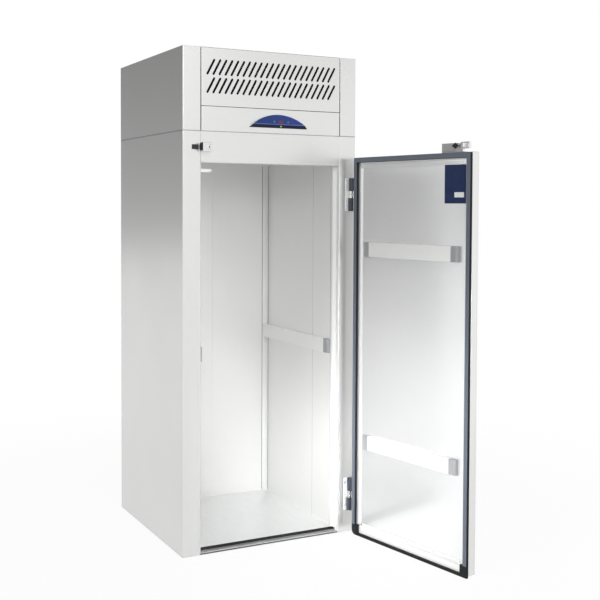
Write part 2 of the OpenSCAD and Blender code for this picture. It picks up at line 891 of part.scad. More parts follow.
// The controller: its display stands in the bezel's window, its box behind the fascia
module controller_unit() {
    box_w = 180;
    box_d = 60;
    box_gap = 10;
    color("darkred") union() {
        block(
            [display_x - display_w / 2, front_y - face_out + 1.5, display_z - display_h / 2],
            [display_x + display_w / 2, front_y + skin_t + cut, display_z + display_h / 2]
        );
        block(
            [display_x - box_w / 2, front_y + skin_t, body_h + box_gap],
            [display_x + box_w / 2, front_y + skin_t + box_d, fascia_top - box_gap]
        );
    }
}

module indicator_lamp() {
    color("yellowgreen") lamp_place() cylinder(d = lamp_dia, h = bezel_out - 4);
}

// A button is a plunger that slides through the bezel towards the controller's switch
module push_button(side) {
    color("lightsteelblue") button_place(side) translate([0, 0, button_travel + seat_gap])
        cylinder(d = button_dia, h = face_out + 1 - seat_gap);
}

module button_left() {
    push_button(-1);
}

module button_right() {
    push_button(1);
}

// The tray under the condensing unit, with an upturned edge
module condensing_tray() {
    edge = 18;
    side_gap = 30;
    front_gap = 66;
    back_gap = 6;
    x1 = half_w - side_gap;
    y0 = front_y + front_gap;
    y1 = evaporator_y0 - back_gap;
    color("darkgray") difference() {
        block([-x1, y0, unit_floor], [x1, y1, unit_floor + edge]);
        block(
            [-x1 + tray_t, y0 + tray_t, unit_floor + tray_t],
            [x1 - tray_t, y1 - tray_t, unit_floor + edge + cut]
        );
    }
}

compressor_foot_z = unit_floor + tray_t + mount_h;
foot_reach = compressor_dia / 2 + 4;
mount_reach = foot_reach - 14;
mount_bore = 9;

// The sealed shell: a drum with domed ends, on a foot plate
module compressor() {
    r = compressor_dia / 2;
    dome = 34;
    foot_t = 4;
    color("black") translate([compressor_x, compressor_y, compressor_foot_z]) union() {
        difference() {
            block([-foot_reach, -foot_reach, 0], [foot_reach, foot_reach, foot_t]);
            for (sx = [-1, 1], sy = [-1, 1])
                translate([sx * mount_reach, sy * mount_reach, -cut])
                    cylinder(d = mount_bore, h = foot_t + 2 * cut);
        }
        rotate_extrude() polygon(concat(
            [[0, foot_t], [r * 0.8, foot_t], [r, foot_t + 16], [r, compressor_h - dome]],
            [for (a = [10 : 10 : 80]) [r * cos(a), compressor_h - dome + dome * sin(a)]],
            [[0, compressor_h]]
        ));
        translate([r - terminal_sink, -terminal_box.y / 2, compressor_h * 0.45]) cube(terminal_box);
    }
}

module compressor_mounts() {
    color("dimgray") for (sx = [-1, 1], sy = [-1, 1])
        translate([
            compressor_x + sx * mount_reach,
            compressor_y + sy * mount_reach,
            unit_floor + tray_t
        ]) difference() {
            cylinder(d = 24, h = mount_h);
            translate([0, 0, -cut]) cylinder(d = mount_bore, h = mount_h + 2 * cut);
        }
}

// A finned coil between two end plates, with the bends of its tube at the right-hand end
module finned_coil(size, rows) {
    plate_t = 2;
    tube_dia = 9;
    fin_pitch = size.x / 30;
    pitch = size.z / (2 * rows);
    union() {
        for (x = [0, size.x - plate_t]) translate([x, 0, 0]) cube([plate_t, size.y, size.z]);
        for (i = [1 : 29]) translate([i * fin_pitch - 0.75, 3, 2]) cube([1.5, size.y - 6, size.z - 4]);
        for (i = [0 : 2 * rows - 1]) translate([0, size.y / 2, (i + 0.5) * pitch]) rotate([0, 90, 0])
            cylinder(d = tube_dia, h = size.x, $fn = 24);
        for (i = [0 : rows - 1]) translate([size.x, size.y / 2, (2 * i + 1) * pitch])
            rotate([90, 0, 0]) rotate([0, 0, -90]) rotate_extrude(angle = 180, $fn = 32)
                translate([pitch / 2, 0]) circle(d = tube_dia, $fn = 16);
    }
}

module condenser_coil() {
    color("darkgray") translate([coil_x0, coil_y0, coil_z0])
        finned_coil([condenser_w, condenser_d, condenser_h], 5);
}

// The sheet behind the coil that leads the air through the fan, and carries the fan's motor
module condenser_shroud() {
    collar_t = 2;
    ring_r = condenser_fan_dia / 2 + fan_gap;
    arm_w = 16;
    arm_x = ring_r + arm_w / 2;
    arm_t = 3;
    arm_gap = 18;
    arm_y = condenser_fan_y + blade_d + arm_gap;
    color("gray") difference() {
        union() {
            block(
                [coil_x0, coil_back, unit_floor + tray_t],
                [coil_x0 + condenser_w, shroud_back, coil_z0 + condenser_h]
            );
            block([coil_x0, coil_y0 + 4, coil_z0 - 3], [coil_x0 + condenser_w, shroud_back, coil_z0]);
            translate([condenser_fan_x, shroud_back, condenser_fan_z]) rotate([-90, 0, 0])
                cylinder(r = ring_r + collar_t, h = condenser_fan_y + blade_d - shroud_back);
            translate([condenser_fan_x, 0, condenser_fan_z]) {
                for (side = [-1, 1]) block(
                    [side * arm_x - arm_w / 2, shroud_back, -arm_w / 2],
                    [side * arm_x + arm_w / 2, arm_y + arm_t, arm_w / 2]
                );
                block([-arm_x, arm_y, -arm_w / 2], [arm_x, arm_y + arm_t, arm_w / 2]);
            }
        }
        translate([condenser_fan_x, coil_back - cut, condenser_fan_z]) rotate([-90, 0, 0])
            cylinder(r = ring_r, h = condenser_fan_y + blade_d - coil_back + cut + 0.01);
        translate([condenser_fan_x, arm_y - cut, condenser_fan_z]) rotate([-90, 0, 0])
            cylinder(d = fan_shaft_dia + 4, h = arm_t + 2 * cut);
    }
}

condenser_motor_gap = 21;
condenser_motor_y = condenser_fan_y + blade_d + condenser_motor_gap;

// A motor drum with its shaft's bearing bore, its axis along +Z from the bore's mouth
module motor_drum() {
    difference() {
        cylinder(d = motor_dia, h = motor_l);
        translate([0, 0, -cut]) cylinder(d = fan_shaft_dia + 2 * run_gap, h = motor_l * 0.7 + cut);
    }
}

// A fan on a shaft along +Z: flat blades set at a slant round a hub
module fan_rotor(dia, shaft_reach) {
    blade_t = 3;
    blade_w = dia * 0.3;
    union() {
        cylinder(d = hub_dia, h = blade_d);
        cylinder(d = fan_shaft_dia, h = shaft_reach);
        intersection() {
            cylinder(d = dia, h = blade_d);
            for (i = [0 : blade_count - 1]) rotate([0, 0, i * 360 / blade_count])
                translate([hub_dia / 2 - 4, 0, blade_d / 2]) rotate([28, 0, 0])
                    translate([0, -blade_w / 2, -blade_t / 2]) cube([dia / 2, blade_w, blade_t]);
        }
    }
}

module condenser_motor() {
    color("dimgray") translate([condenser_fan_x, condenser_motor_y, condenser_fan_z])
        rotate([-90, 0, 0]) motor_drum();
}

module condenser_fan() {
    color("black") translate([condenser_fan_x, condenser_fan_y, condenser_fan_z]) rotate([-90, 0, 0])
        fan_rotor(condenser_fan_dia, condenser_motor_y - condenser_fan_y + motor_l * 0.6);
}

// The insulated cover over the ceiling's air holes, open at the bottom
module evaporator_housing() {
    inner_half = evaporator_half - evaporator_wall;
    color("whitesmoke") difference() {
        block(
            [-evaporator_half, evaporator_y0, unit_floor],
            [evaporator_half, evaporator_y1, unit_floor + evaporator_h]
        );
        block(
            [-inner_half, evaporator_y0 + evaporator_wall, unit_floor - cut],
            [inner_half, evaporator_y1 - evaporator_wall, unit_floor + evaporator_h - evaporator_wall]
        );
        pipe_paths(0.5);
    }
}

cold_coil_side_gap = 16;
cold_coil_head_gap = 100;
coil_half = evaporator_half - evaporator_wall - cold_coil_side_gap;

module evaporator_coil() {
    color("darkgray") translate([-coil_half, coil_front, unit_floor])
        finned_coil([2 * coil_half - 12, cold_coil_d, evaporator_h - cold_coil_head_gap], 4);
}

evaporator_motor_gap = 10;
evaporator_motor_z = evaporator_fan_z + blade_d + evaporator_motor_gap;

// The motor hangs in a cross bar over the ceiling's round hole
module evaporator_motor() {
    bar_w = 18;
    bar_t = 3;
    leg = duct_r + 12;
    color("dimgray") translate([duct_x, duct_y, 0]) union() {
        translate([0, 0, evaporator_motor_z]) motor_drum();
        difference() {
            union() {
                block([-leg, -bar_w / 2, evaporator_motor_z - bar_t], [leg, bar_w / 2, evaporator_motor_z]);
                for (side = [-1, 1]) block(
                    [side * leg - bar_t, -bar_w / 2, unit_floor],
                    [side * leg + bar_t, bar_w / 2, evaporator_motor_z]
                );
            }
            translate([0, 0, evaporator_motor_z - bar_t - cut])
                cylinder(d = fan_shaft_dia + 2 * run_gap, h = bar_t + 2 * cut);
        }
    }
}

module evaporator_fan() {
    color("black") translate([duct_x, duct_y, evaporator_fan_z])
        fan_rotor(evaporator_fan_dia, evaporator_motor_z - evaporator_fan_z + motor_l * 0.6);
}

// A tube with round joints along a list of corners
module tube_run(corners, dia) {
    for (i = [0 : len(corners) - 2]) {
        step = corners[i + 1] - corners[i];
        translate(corners[i]) rotate([0, acos(step.z / norm(step)), atan2(step.y, step.x)])
            cylinder(d = dia, h = norm(step), $fn = 24);
    }
    for (i = [1 : len(corners) - 2]) translate(corners[i]) sphere(d = dia, $fn = 24);
}

// The suction pipe and the liquid pipe between the compressor, the condenser and the cold coil
module pipe_paths(extra) {
    r = compressor_dia / 2;
    shell_top = compressor_foot_z + compressor_h * 0.72;
    suction_z = unit_floor + suction_lift;
    liquid_z = unit_floor + liquid_lift;
    tube_run([
        [compressor_x, compressor_y + r + seat_gap / 2, shell_top],
        [compressor_x, compressor_y + r + 24, shell_top],
        [compressor_x, compressor_y + r + 24, suction_z],
        [compressor_x, coil_front + 3, suction_z]
    ], suction_dia + 2 * extra);
    tube_run([
        [coil_x0 + 60, shroud_back, unit_floor + 40],
        [coil_x0 + 60, shroud_back + 60, unit_floor + 40],
        [coil_x0 + 60, shroud_back + 60, liquid_z],
        [coil_x0 + 60, coil_front + 3, liquid_z]
    ], liquid_dia + 2 * extra);
}

module refrigerant_pipes() {
    color("peru") pipe_paths(0);
}

gland_dia = 20;
gland_side_gap = 85;
gland_lift = 60;
gland_x = half_w - gland_side_gap;
gland_z = body_h + gland_lift;

// The inlet for the supply cord: a nut on the outside of the back sheet, with a bore
module cable_gland() {
    head_d = 30;
    head_l = 16;
    bore_d = 10;
    color("dimgray") translate([gland_x, back_y + head_l, gland_z]) rotate([90, 0, 0]) difference() {
        union() {
            cylinder(d = head_d, h = head_l);
            cylinder(d = gland_dia, h = head_l + skin_t + 12);
        }
        translate([0, 0, -cut]) cylinder(d = bore_d, h = head_l + skin_t + 12 + 2 * cut);
    }
}

// The door's outer sheet: a pan with a rim turned in all round
module door_outer_skin() {
    color("gainsboro") swung() difference() {
        block([door_left, outer_y, door_bottom], [door_right, rim_y, door_top]);
        block(
            [door_left + skin_t, outer_y + skin_t, door_bottom + skin_t],
            [door_right - skin_t, rim_y - skin_t, door_top - skin_t]
        );
        block([panel_left, outer_y + skin_t, panel_bottom], [panel_right, rim_y + cut, panel_top]);
    }
}

module door_foam() {
    color("khaki") swung() difference() {
        block(
            [door_left + skin_t, outer_y + skin_t, door_bottom + skin_t],
            [door_right - skin_t, rim_y - skin_t, door_top - skin_t]
        );
        block([panel_left, panel_y - liner_t, panel_bottom], [panel_right, rim_y + cut, panel_top]);
    }
}

// The inner sheet is dished: its face lies below the rim
module door_inner_panel() {
    color("whitesmoke") swung() difference() {
        block([panel_left, panel_y - liner_t, panel_bottom], [panel_right, rim_y, panel_top]);
        block(
            [panel_left + liner_t, panel_y, panel_bottom + liner_t],
            [panel_right - liner_t, rim_y + cut, panel_top - liner_t]
        );
    }
}

// The magnetic gasket goes up both sides and across the top
module door_gasket() {
    foot = door_bottom + seal_block_h;
    color("slategray") swung() difference() {
        block([gasket_left, rim_y, foot], [gasket_right, seat_y, gasket_top]);
        block(
            [gasket_left + gasket_w, rim_y - cut, foot - cut],
            [gasket_right - gasket_w, seat_y + cut, gasket_top - gasket_w]
        );
    }
}

// The rubber along the door's foot, and the two corner blocks that join it to the gasket
module door_bottom_seal() {
    x0 = gasket_left + seal_block_w;
    x1 = gasket_right - seal_block_w;
    block_top = door_bottom + seal_block_h;
    corner_r = 22;
    color("black") swung() {
        block([x0, rim_y, seal_gap], [x1, rim_y + seal_d, seal_gap + seal_h]);
        block([gasket_left, rim_y, seal_gap], [x0, rim_y + seal_d, block_top]);
        along_y(rim_y, rim_y + seal_d) difference() {
            translate([x1, seal_gap]) square([seal_block_w, block_top - seal_gap]);
            translate([gasket_right - corner_r, seal_gap]) difference() {
                translate([0, -cut]) square([corner_r + cut, corner_r + cut]);
                translate([0, corner_r]) circle(corner_r);
            }
        }
    }
}

// The stainless kick plate: it stands on the rim, steps down to the panel and is screwed there
module door_kick_plate() {
    rim_top = panel_bottom + liner_t + 1;
    foot = seal_gap + seal_h + seat_gap;
    step_top = rim_top + 8;
    x0 = gasket_left + seal_block_w + seat_gap;
    x1 = gasket_right - seal_block_w - seat_gap;
    color("silver") swung() along_x(x0, x1) polygon([
        [rim_y, foot], [rim_y + kick_t, foot], [rim_y + kick_t, rim_top + 1],
        [panel_y + kick_t, step_top + 1], [panel_y + kick_t, kick_top], [panel_y, kick_top],
        [panel_y, step_top], [rim_y, rim_top]
    ]);
}

// Round heads of the screws that hold the kick plate, along its upper edge
module kick_plate_screws() {
    head_dia = 7;
    head_h = 1.6;
    screw_z = kick_top - 6;
    span = panel_right - panel_left - 50;
    color("gray") swung() for (i = [0 : 4])
        translate([panel_left + 25 + i * span / 4, panel_y + kick_t, screw_z]) rotate([-90, 0, 0])
            cylinder(d = head_dia, h = head_h);
}

// A bare plate on the inner panel
module door_label() {
    color("navy") swung() block(
        [panel_left + label_gap, panel_y, label_z],
        [panel_left + label_gap + label_w, panel_y + label_t, label_z + label_h]
    );
}

door_rail_l = panel_right - panel_left - 2 * (door_rail_gap + rail_cap_l);

// Puts a rail on the door's inner panel at each of its two heights
module on_door_panel() {
    swung() for (z = [door_rail_low_z, door_rail_high_z])
        translate([(panel_left + panel_right) / 2, panel_y, z]) children();
}

module door_bumper_rails() {
    color("white") on_door_panel() rail_channel(door_rail_l);
}

module door_bumper_caps() {
    color("lightgray") on_door_panel() both_sides() rail_cap(door_rail_l);
}

// The case stands on the door's top edge and has a plate down the outer face
module latch_case() {
    color("gray") swung() difference() {
        union() {
            block([case_left - case_foot_l, outer_y, door_top], [case_right, case_inner_y, case_foot]);
            block([case_left, case_outer_y, case_foot], [case_right, case_inner_y, case_top]);
            block(
                [case_left, case_outer_y, door_top - case_plate_l],
                [case_right, outer_y, case_foot]
            );
        }
        block(
            [case_left + case_wall, outer_y + 5, case_foot + case_wall / 2],
            [case_right - case_wall, case_inner_y - case_wall, case_top - case_wall]
        );
        block(
            [case_left - cut, stem_y - seat_gap, stem_z - seat_gap],
            [case_left + case_wall + cut, stem_y + stem_d + seat_gap, stem_z + stem_h + seat_gap]
        );
        spindle_place() cylinder(d = spindle_dia + 2 * run_gap, h = 30);
        lock_place() cylinder(d = lock_dia + 2 * run_gap, h = 30);
    }
}

// Puts a piece on the spindle's axis, from the latch plate's outer face inwards
module spindle_place() {
    translate([spindle_x, case_outer_y - cut, spindle_z]) rotate([-90, 0, 0]) children();
}

module lock_place() {
    translate([lock_x, case_outer_y - cut, lock_z]) rotate([-90, 0, 0]) children();
}

// A black diamond-shaped buffer on the case's inner side
module latch_buffer() {
    half_l = 19;
    half_h = 12;
    z = case_top - half_h + 1;
    color("black") swung() along_y(case_inner_y, case_inner_y + 3) polygon([
        [case_left - 14, z], [case_left - 14 + half_l, z + half_h],
        [case_left - 14 + 2 * half_l, z], [case_left - 14 + half_l, z - half_h]
    ]);
}

tooth_h = pocket_h - 6;
claw_left = keeper_left + 15;
claw_right = case_left - claw_travel - 2;
claw_front = keeper_front - 3;
neck_x0 = keeper_left + lip_w + 2;
neck_x1 = neck_x0 + 8;

// The claw: a head in front of the keeper, a neck with a tooth behind its lip, and a sliding stem
module latch_claw() {
    head_h = 28;
    head_y0 = stem_y - 3;
    tooth_y0 = pocket_front + 1;
    tooth_y1 = pocket_back - 3;
    z = keeper_z;
    stem_end = crank_pin_x + crank_slot_w / 2 + 5;
    color("silver") swung() difference() {
        union() {
            translate([0, 0, z - head_h / 2]) linear_extrude(head_h)
                translate([(claw_left + claw_right) / 2, (head_y0 + claw_front) / 2])
                    round_rect([claw_right - claw_left, claw_front - head_y0], 5);
            block([neck_x0, claw_front - 1, z - tooth_h / 2], [neck_x1, tooth_y1, z + tooth_h / 2]);
            block([neck_x0 - 6, tooth_y0, z - tooth_h / 2], [neck_x0 + 1, tooth_y1, z + tooth_h / 2]);
            block([claw_right - 8, stem_y, stem_z], [stem_end, stem_y + stem_d, stem_z + stem_h]);
        }
        block(
            [crank_pin_x - crank_slot_w / 2, stem_y - cut, stem_z - cut],
            [crank_pin_x + crank_slot_w / 2, stem_y + stem_d + cut, z + crank_slot_w / 2]
        );
    }
}

crank_pin_x = spindle_x - crank_r * sin(handle_swing / 2);

// The handle: a hub, a grip that hangs down, a spindle through the plate, and a crank inside
module latch_handle() {
    handle_hub = 32;
    reach = handle_l - handle_w / 2;
    hub_l = handle_out - 12;
    grip_t = 12;
    grip_y = case_outer_y - handle_out;
    crank_y0 = outer_y + 5 + seat_gap;
    pin_z = spindle_z + crank_r * cos(handle_swing / 2);
    color("silver") swung() union() {
        translate([spindle_x, case_outer_y - seat_gap, spindle_z]) rotate([90, 0, 0])
            cylinder(d = handle_hub, h = hub_l);
        along_y(grip_y, grip_y + grip_t) translate([spindle_x, spindle_z]) union() {
            circle(d = handle_hub);
            translate([-handle_w / 2, -reach]) square([handle_w, reach]);
            translate([0, -reach]) circle(d = handle_w);
        }
        translate([spindle_x, case_outer_y - seat_gap - 1, spindle_z]) rotate([-90, 0, 0])
            cylinder(d = spindle_dia, h = crank_y0 + crank_t - case_outer_y + seat_gap + 1);
        along_y(crank_y0, crank_y0 + crank_t) union() {
            translate([spindle_x, spindle_z]) circle(d = spindle_dia);
            translate([spindle_x, spindle_z]) rotate(handle_swing / 2)
                translate([-4, 0]) square([8, crank_r]);
            translate([crank_pin_x, pin_z]) circle(d = 8);
        }
        translate([crank_pin_x, crank_y0, pin_z]) rotate([-90, 0, 0])
            cylinder(d = crank_pin_dia, h = stem_y + stem_d - crank_y0 - 1);
    }
}

// The lock's barrel turns in the latch plate, with a slot for its key
module lock_barrel() {
    face_t = 3;
    color("silver") swung() difference() {
        union() {
            translate([lock_x, outer_y - seat_gap, lock_z]) rotate([90, 0, 0])
                cylinder(d = lock_dia, h = case_plate_t + face_t);
            translate([lock_x, case_outer_y - seat_gap, lock_z]) rotate([90, 0, 0])
                cylinder(d = lock_dia + 6, h = face_t);
        }
        block(
            [lock_x - 1, case_outer_y - face_t - cut - seat_gap, lock_z - 5],
            [lock_x + 1, case_outer_y - face_t + 2, lock_z + 5]
        );
    }
}

side_skins();
back_skin();
header_skin();
base_pan();
roof_skin();
wall_foam();
wall_liner();
ceiling_liner();
floor_plate();
threshold_base();
threshold_sill();
opening_breaker();
frame_heater();
corner_coves();
rear_wall_channel();
wall_bumper_rails();
wall_bumper_caps();
ceiling_grilles();
keeper();
hinge_frame_leaves();
hinge_pins();
housing_sides();
housing_back_panel();
housing_top_panel();
louvre_panel();
control_fascia();
controller_bezel();
controller_unit();
indicator_lamp();
condensing_tray();
compressor();
compressor_mounts();
condenser_coil();
condenser_shroud();
condenser_motor();
evaporator_housing();
evaporator_coil();
evaporator_motor();
refrigerant_pipes();
cable_gland();
condenser_fan();
evaporator_fan();
button_left();
button_right();
door_outer_skin();
door_foam();
door_inner_panel();
door_gasket();
door_bottom_seal();
door_kick_plate();
kick_plate_screws();
door_label();
door_bumper_rails();
door_bumper_caps();
hinge_door_leaves();
latch_case();
latch_buffer();
latch_claw();
latch_handle();
lock_barrel();
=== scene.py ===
# %% [markdown]
# # A roll-in freezer
# This lesson dresses a steel cabinet that a trolley rolls into. The construction arrives as a fixed
# frame: every sheet, seal and hinge already lies at its real size and place. What is left is what the
# eye sees: folded edges that catch the light, brushed metal, rubber, and the light of a studio.
# Lengths are in metres. X runs to the right, Y to the back, Z up.

# %% Load the frame
import json
import math

import bmesh
import bpy
import numpy as np
from mathutils import Matrix, Vector

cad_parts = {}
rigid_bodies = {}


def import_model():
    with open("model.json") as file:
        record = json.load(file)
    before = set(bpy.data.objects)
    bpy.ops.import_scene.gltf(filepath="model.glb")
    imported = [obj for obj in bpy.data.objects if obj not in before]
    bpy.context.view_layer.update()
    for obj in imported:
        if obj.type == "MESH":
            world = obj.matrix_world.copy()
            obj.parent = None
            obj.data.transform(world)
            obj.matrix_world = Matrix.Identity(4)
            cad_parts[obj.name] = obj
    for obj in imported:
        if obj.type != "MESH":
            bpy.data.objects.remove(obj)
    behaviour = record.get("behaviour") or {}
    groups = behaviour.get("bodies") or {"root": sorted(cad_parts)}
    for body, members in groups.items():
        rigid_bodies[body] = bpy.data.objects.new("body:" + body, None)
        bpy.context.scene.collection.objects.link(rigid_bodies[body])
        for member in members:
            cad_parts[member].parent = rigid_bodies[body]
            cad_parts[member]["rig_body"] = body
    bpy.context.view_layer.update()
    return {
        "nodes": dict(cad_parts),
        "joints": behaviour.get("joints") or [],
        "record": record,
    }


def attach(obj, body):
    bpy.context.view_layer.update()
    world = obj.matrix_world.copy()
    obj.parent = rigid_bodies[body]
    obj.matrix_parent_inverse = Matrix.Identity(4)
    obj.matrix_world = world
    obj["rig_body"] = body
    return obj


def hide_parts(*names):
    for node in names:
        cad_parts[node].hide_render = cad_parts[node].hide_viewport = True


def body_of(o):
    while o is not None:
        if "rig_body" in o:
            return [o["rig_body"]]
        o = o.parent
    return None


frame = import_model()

# %% [markdown]
# ## The door's two places
# The door rests open, but its shapes are easier to think of when it is shut, with its sides along X
# and Z. So each door piece is made shut and then turned about the hinge pins, as the frame's joint
# says: the lower limit of that joint is the turn that would shut the door again.

# %% The turn of the door
MM = 0.001
swing_joint = next(j for j in frame["joints"] if j["name"] == "door_swing")
PIN = np.array(swing_joint["pos_m"])
OPEN_TURN = -math.radians(swing_joint["range_deg"][0])


def turned(points, angle):
    """Points turned about the hinge pins: x and y mix by the angle's cosine and sine, z stays."""
    moved = np.array(points, float) - PIN
    c, s = math.cos(angle), math.sin(angle)
    x, y = moved[..., 0], moved[..., 1]
    return np.stack([c * x - s * y, s * x + c * y, moved[..., 2]], axis=-1) + PIN


def opened(points):
    """Where points of the shut door lie when it rests open."""
    return turned(points, OPEN_TURN)


def node_points(node):
    """A node's corner points as an array of n rows."""
    mesh = frame["nodes"][node].data
    flat = np.zeros(len(mesh.vertices) * 3, np.float32)
    mesh.vertices.foreach_get("co", flat)
    return flat.reshape(-1, 3).astype(float)


def box(node):
    """The lowest and highest corner of a node at rest."""
    points = node_points(node)
    return points.min(axis=0), points.max(axis=0)


def shut_box(node):
    """The lowest and highest corner of a door node once the door is shut."""
    points = turned(node_points(node), -OPEN_TURN)
    return points.min(axis=0), points.max(axis=0)


print(f"the door rests open by {math.degrees(OPEN_TURN):.1f} degrees")

# %% [markdown]
# ## From arrays to pieces
# A shape is gathered as points and faces before Blender sees it. Three ways cover the whole cabinet:
# a grid of points over two parameters, an outline carried straight (a prism), and a profile turned
# round an axis. A folded sheet is a prism whose outline has arcs at its bends.

# %% Outlines and shapes
def rounded(corners, radii, steps=5):
    """A closed outline whose corners are arcs that touch both sides.

    The arc starts at r / tan(half the corner) from the corner. Its centre lies on the bisector at
    r / sin(half the corner), and the arc turns evenly from one touching point to the other.
    """
    corners = np.array(corners, float)
    radii = np.broadcast_to(radii, len(corners))
    parts = []
    for i, r in enumerate(radii):
        corner = corners[i]
        if r == 0:
            parts.append(corner[None])
            continue
        a = corners[i - 1] - corner
        b = corners[(i + 1) % len(corners)] - corner
        a, b = a / np.linalg.norm(a), b / np.linalg.norm(b)
        half = math.acos(float(np.clip(a @ b, -1, 1))) / 2
        centre = corner + (a + b) / np.linalg.norm(a + b) * r / math.sin(half)
        first = corner + a * r / math.tan(half) - centre
        last = corner + b * r / math.tan(half) - centre
        turn = math.pi - 2 * half
        k = np.linspace(0, 1, steps)[:, None]
        spoke = np.sin((1 - k) * turn) * first + np.sin(k * turn) * last
        parts.append(centre + spoke / math.sin(turn))
    return np.concatenate(parts)


def rectangle(low, high):
    """The four corners of a rectangle in the order that goes round it."""
    return [(low[0], low[1]), (high[0], low[1]), (high[0], high[1]), (low[0], high[1])]


class Shape:
    """Points and faces that are gathered before they become one piece."""

    PLACES = {"x": (1, 2, 0), "y": (0, 2, 1), "z": (0, 1, 2)}

    def __init__(self):
        self.points, self.faces, self.count = [], [], 0

    def add(self, points, faces):
        """Points, and faces that count from the first of them."""
        points = np.asarray(points, float).reshape(-1, 3)
        self.points.append(points)
        self.faces += [[int(i) + self.count for i in face] for face in faces]
        self.count += len(points)
        return self

    def grid(self, points, wrap=False):
        """Quads between a grid's neighbours, closed in its first direction if wrapped."""
        rows, columns = points.shape[:2]
        index = np.arange(rows * columns).reshape(rows, columns)
        after = np.roll(index, -1, axis=0)
        a, b = (index, after) if wrap else (index[:-1], after[:-1])
        quads = np.stack([a[:, :-1], b[:, :-1], b[:, 1:], a[:, 1:]], axis=-1).reshape(-1, 4)
        return self.add(points, quads)

    def prism(self, outline, axis, low, high):
        """A closed outline in the two other directions, carried along one axis from low to high."""
        outline = np.asarray(outline, float)
        n = len(outline)
        points = np.zeros((2, n, 3))
        for place, values in zip(self.PLACES[axis], (outline[:, 0], outline[:, 1], None)):
            points[..., place] = values if values is not None else np.array([[low], [high]])
        around = np.arange(n)
        after = np.roll(around, -1)
        sides = np.stack([around, after, after + n, around + n], axis=-1)
        return self.add(points, [*sides, around[::-1], around + n])

    def block(self, low, high):
        """A plain block between two corners."""
        return self.prism(rectangle(low[:2], high[:2]), "z", low[2], high[2])

    def revolve(self, profile, centre, axis, steps=40):
        """A profile of radius and height turned round an axis: x = r cos, y = r sin, z = height."""
        profile = np.asarray(profile, float)
        angle = np.linspace(0, 2 * math.pi, steps, endpoint=False)[:, None]
        ring = np.zeros((steps, len(profile), 3))
        u, v, w = self.PLACES[axis]
        ring[..., u] = profile[:, 0] * np.cos(angle)
        ring[..., v] = profile[:, 0] * np.sin(angle)
        ring[..., w] = profile[:, 1]
        return self.grid(ring + np.asarray(centre, float), wrap=True)

    def mirrored(self):
        """The shape and its image across the cabinet's middle plane."""
        image = [points * (-1, 1, 1) for points in self.points]
        faces = [[i + self.count for i in face[::-1]] for face in self.faces]
        self.points += image
        self.faces += faces
        self.count *= 2
        return self


print("shapes: grid, prism, block, revolve")

# %% [markdown]
# ## Soft edges
# No real edge is perfectly sharp: a fold has a radius of a few millimetres, and a cut edge is broken
# by the deburring wheel. That thin curved line is what catches the light and tells two sheets apart.
# A Bevel modifier makes it, and is applied here, so that the finished mesh holds the bevel itself.

# %% Make a piece
CREASE = math.radians(38)
FOLD = math.radians(30)
AREA_WEIGHT = 80


def applied(obj):
    """Swaps an object's mesh for the one that its modifiers give, and clears them."""
    graph = bpy.context.evaluated_depsgraph_get()
    made = bpy.data.meshes.new_from_object(obj.evaluated_get(graph))
    obj.modifiers.clear()
    old, obj.data = obj.data, made
    bpy.data.meshes.remove(old)


def finish_mesh(obj, bevel=0.0, segments=2, weights=False, clamp=True):
    """Applies a bevel and shades smoothly between the creases. Each corner's normal is the mean of
    its faces' normals weighted by their areas, so a flat sheet stays flat up to its bend."""
    if bevel:
        cut = obj.modifiers.new("edges", "BEVEL")
        cut.width, cut.segments, cut.use_clamp_overlap = bevel, segments, clamp
        cut.limit_method = "WEIGHT" if weights else "ANGLE"
        cut.angle_limit = FOLD
        applied(obj)
    obj.data.shade_smooth()
    obj.data.set_sharp_from_angle(angle=CREASE)
    even = obj.modifiers.new("normals", "WEIGHTED_NORMAL")
    even.keep_sharp, even.weight = True, AREA_WEIGHT
    applied(obj)


def linked(name, mesh):
    """An object of the scene that shows a mesh, a lamp or a camera."""
    obj = bpy.data.objects.new(name, mesh)
    bpy.context.scene.collection.objects.link(obj)
    return obj


def piece(name, shape, body, slot, replaces=(), bevel=0.0, segments=2, shut=False):
    """Makes an object from a shape, and ties it to its body, its finish and what it stands for."""
    points = np.concatenate(shape.points)
    mesh = bpy.data.meshes.new(name)
    mesh.from_pydata((opened(points) if shut else points).tolist(), [], shape.faces)
    obj = linked(name, mesh)
    work = bmesh.new()
    work.from_mesh(mesh)
    bmesh.ops.remove_doubles(work, verts=work.verts, dist=1e-6)
    bmesh.ops.recalc_face_normals(work, faces=work.faces)
    work.to_mesh(mesh)
    work.free()
    finish_mesh(obj, bevel, segments)
    return dress(obj, body, slot, replaces)


def dress(obj, body, slot, replaces=()):
    """Rides a piece on its body, gives it its slot and finish, and hides what it replaces."""
    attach(obj, body)
    if replaces:
        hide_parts(*replaces)
    obj.data.materials.clear()
    obj.data.materials.append(finish_of(slot))
    return obj


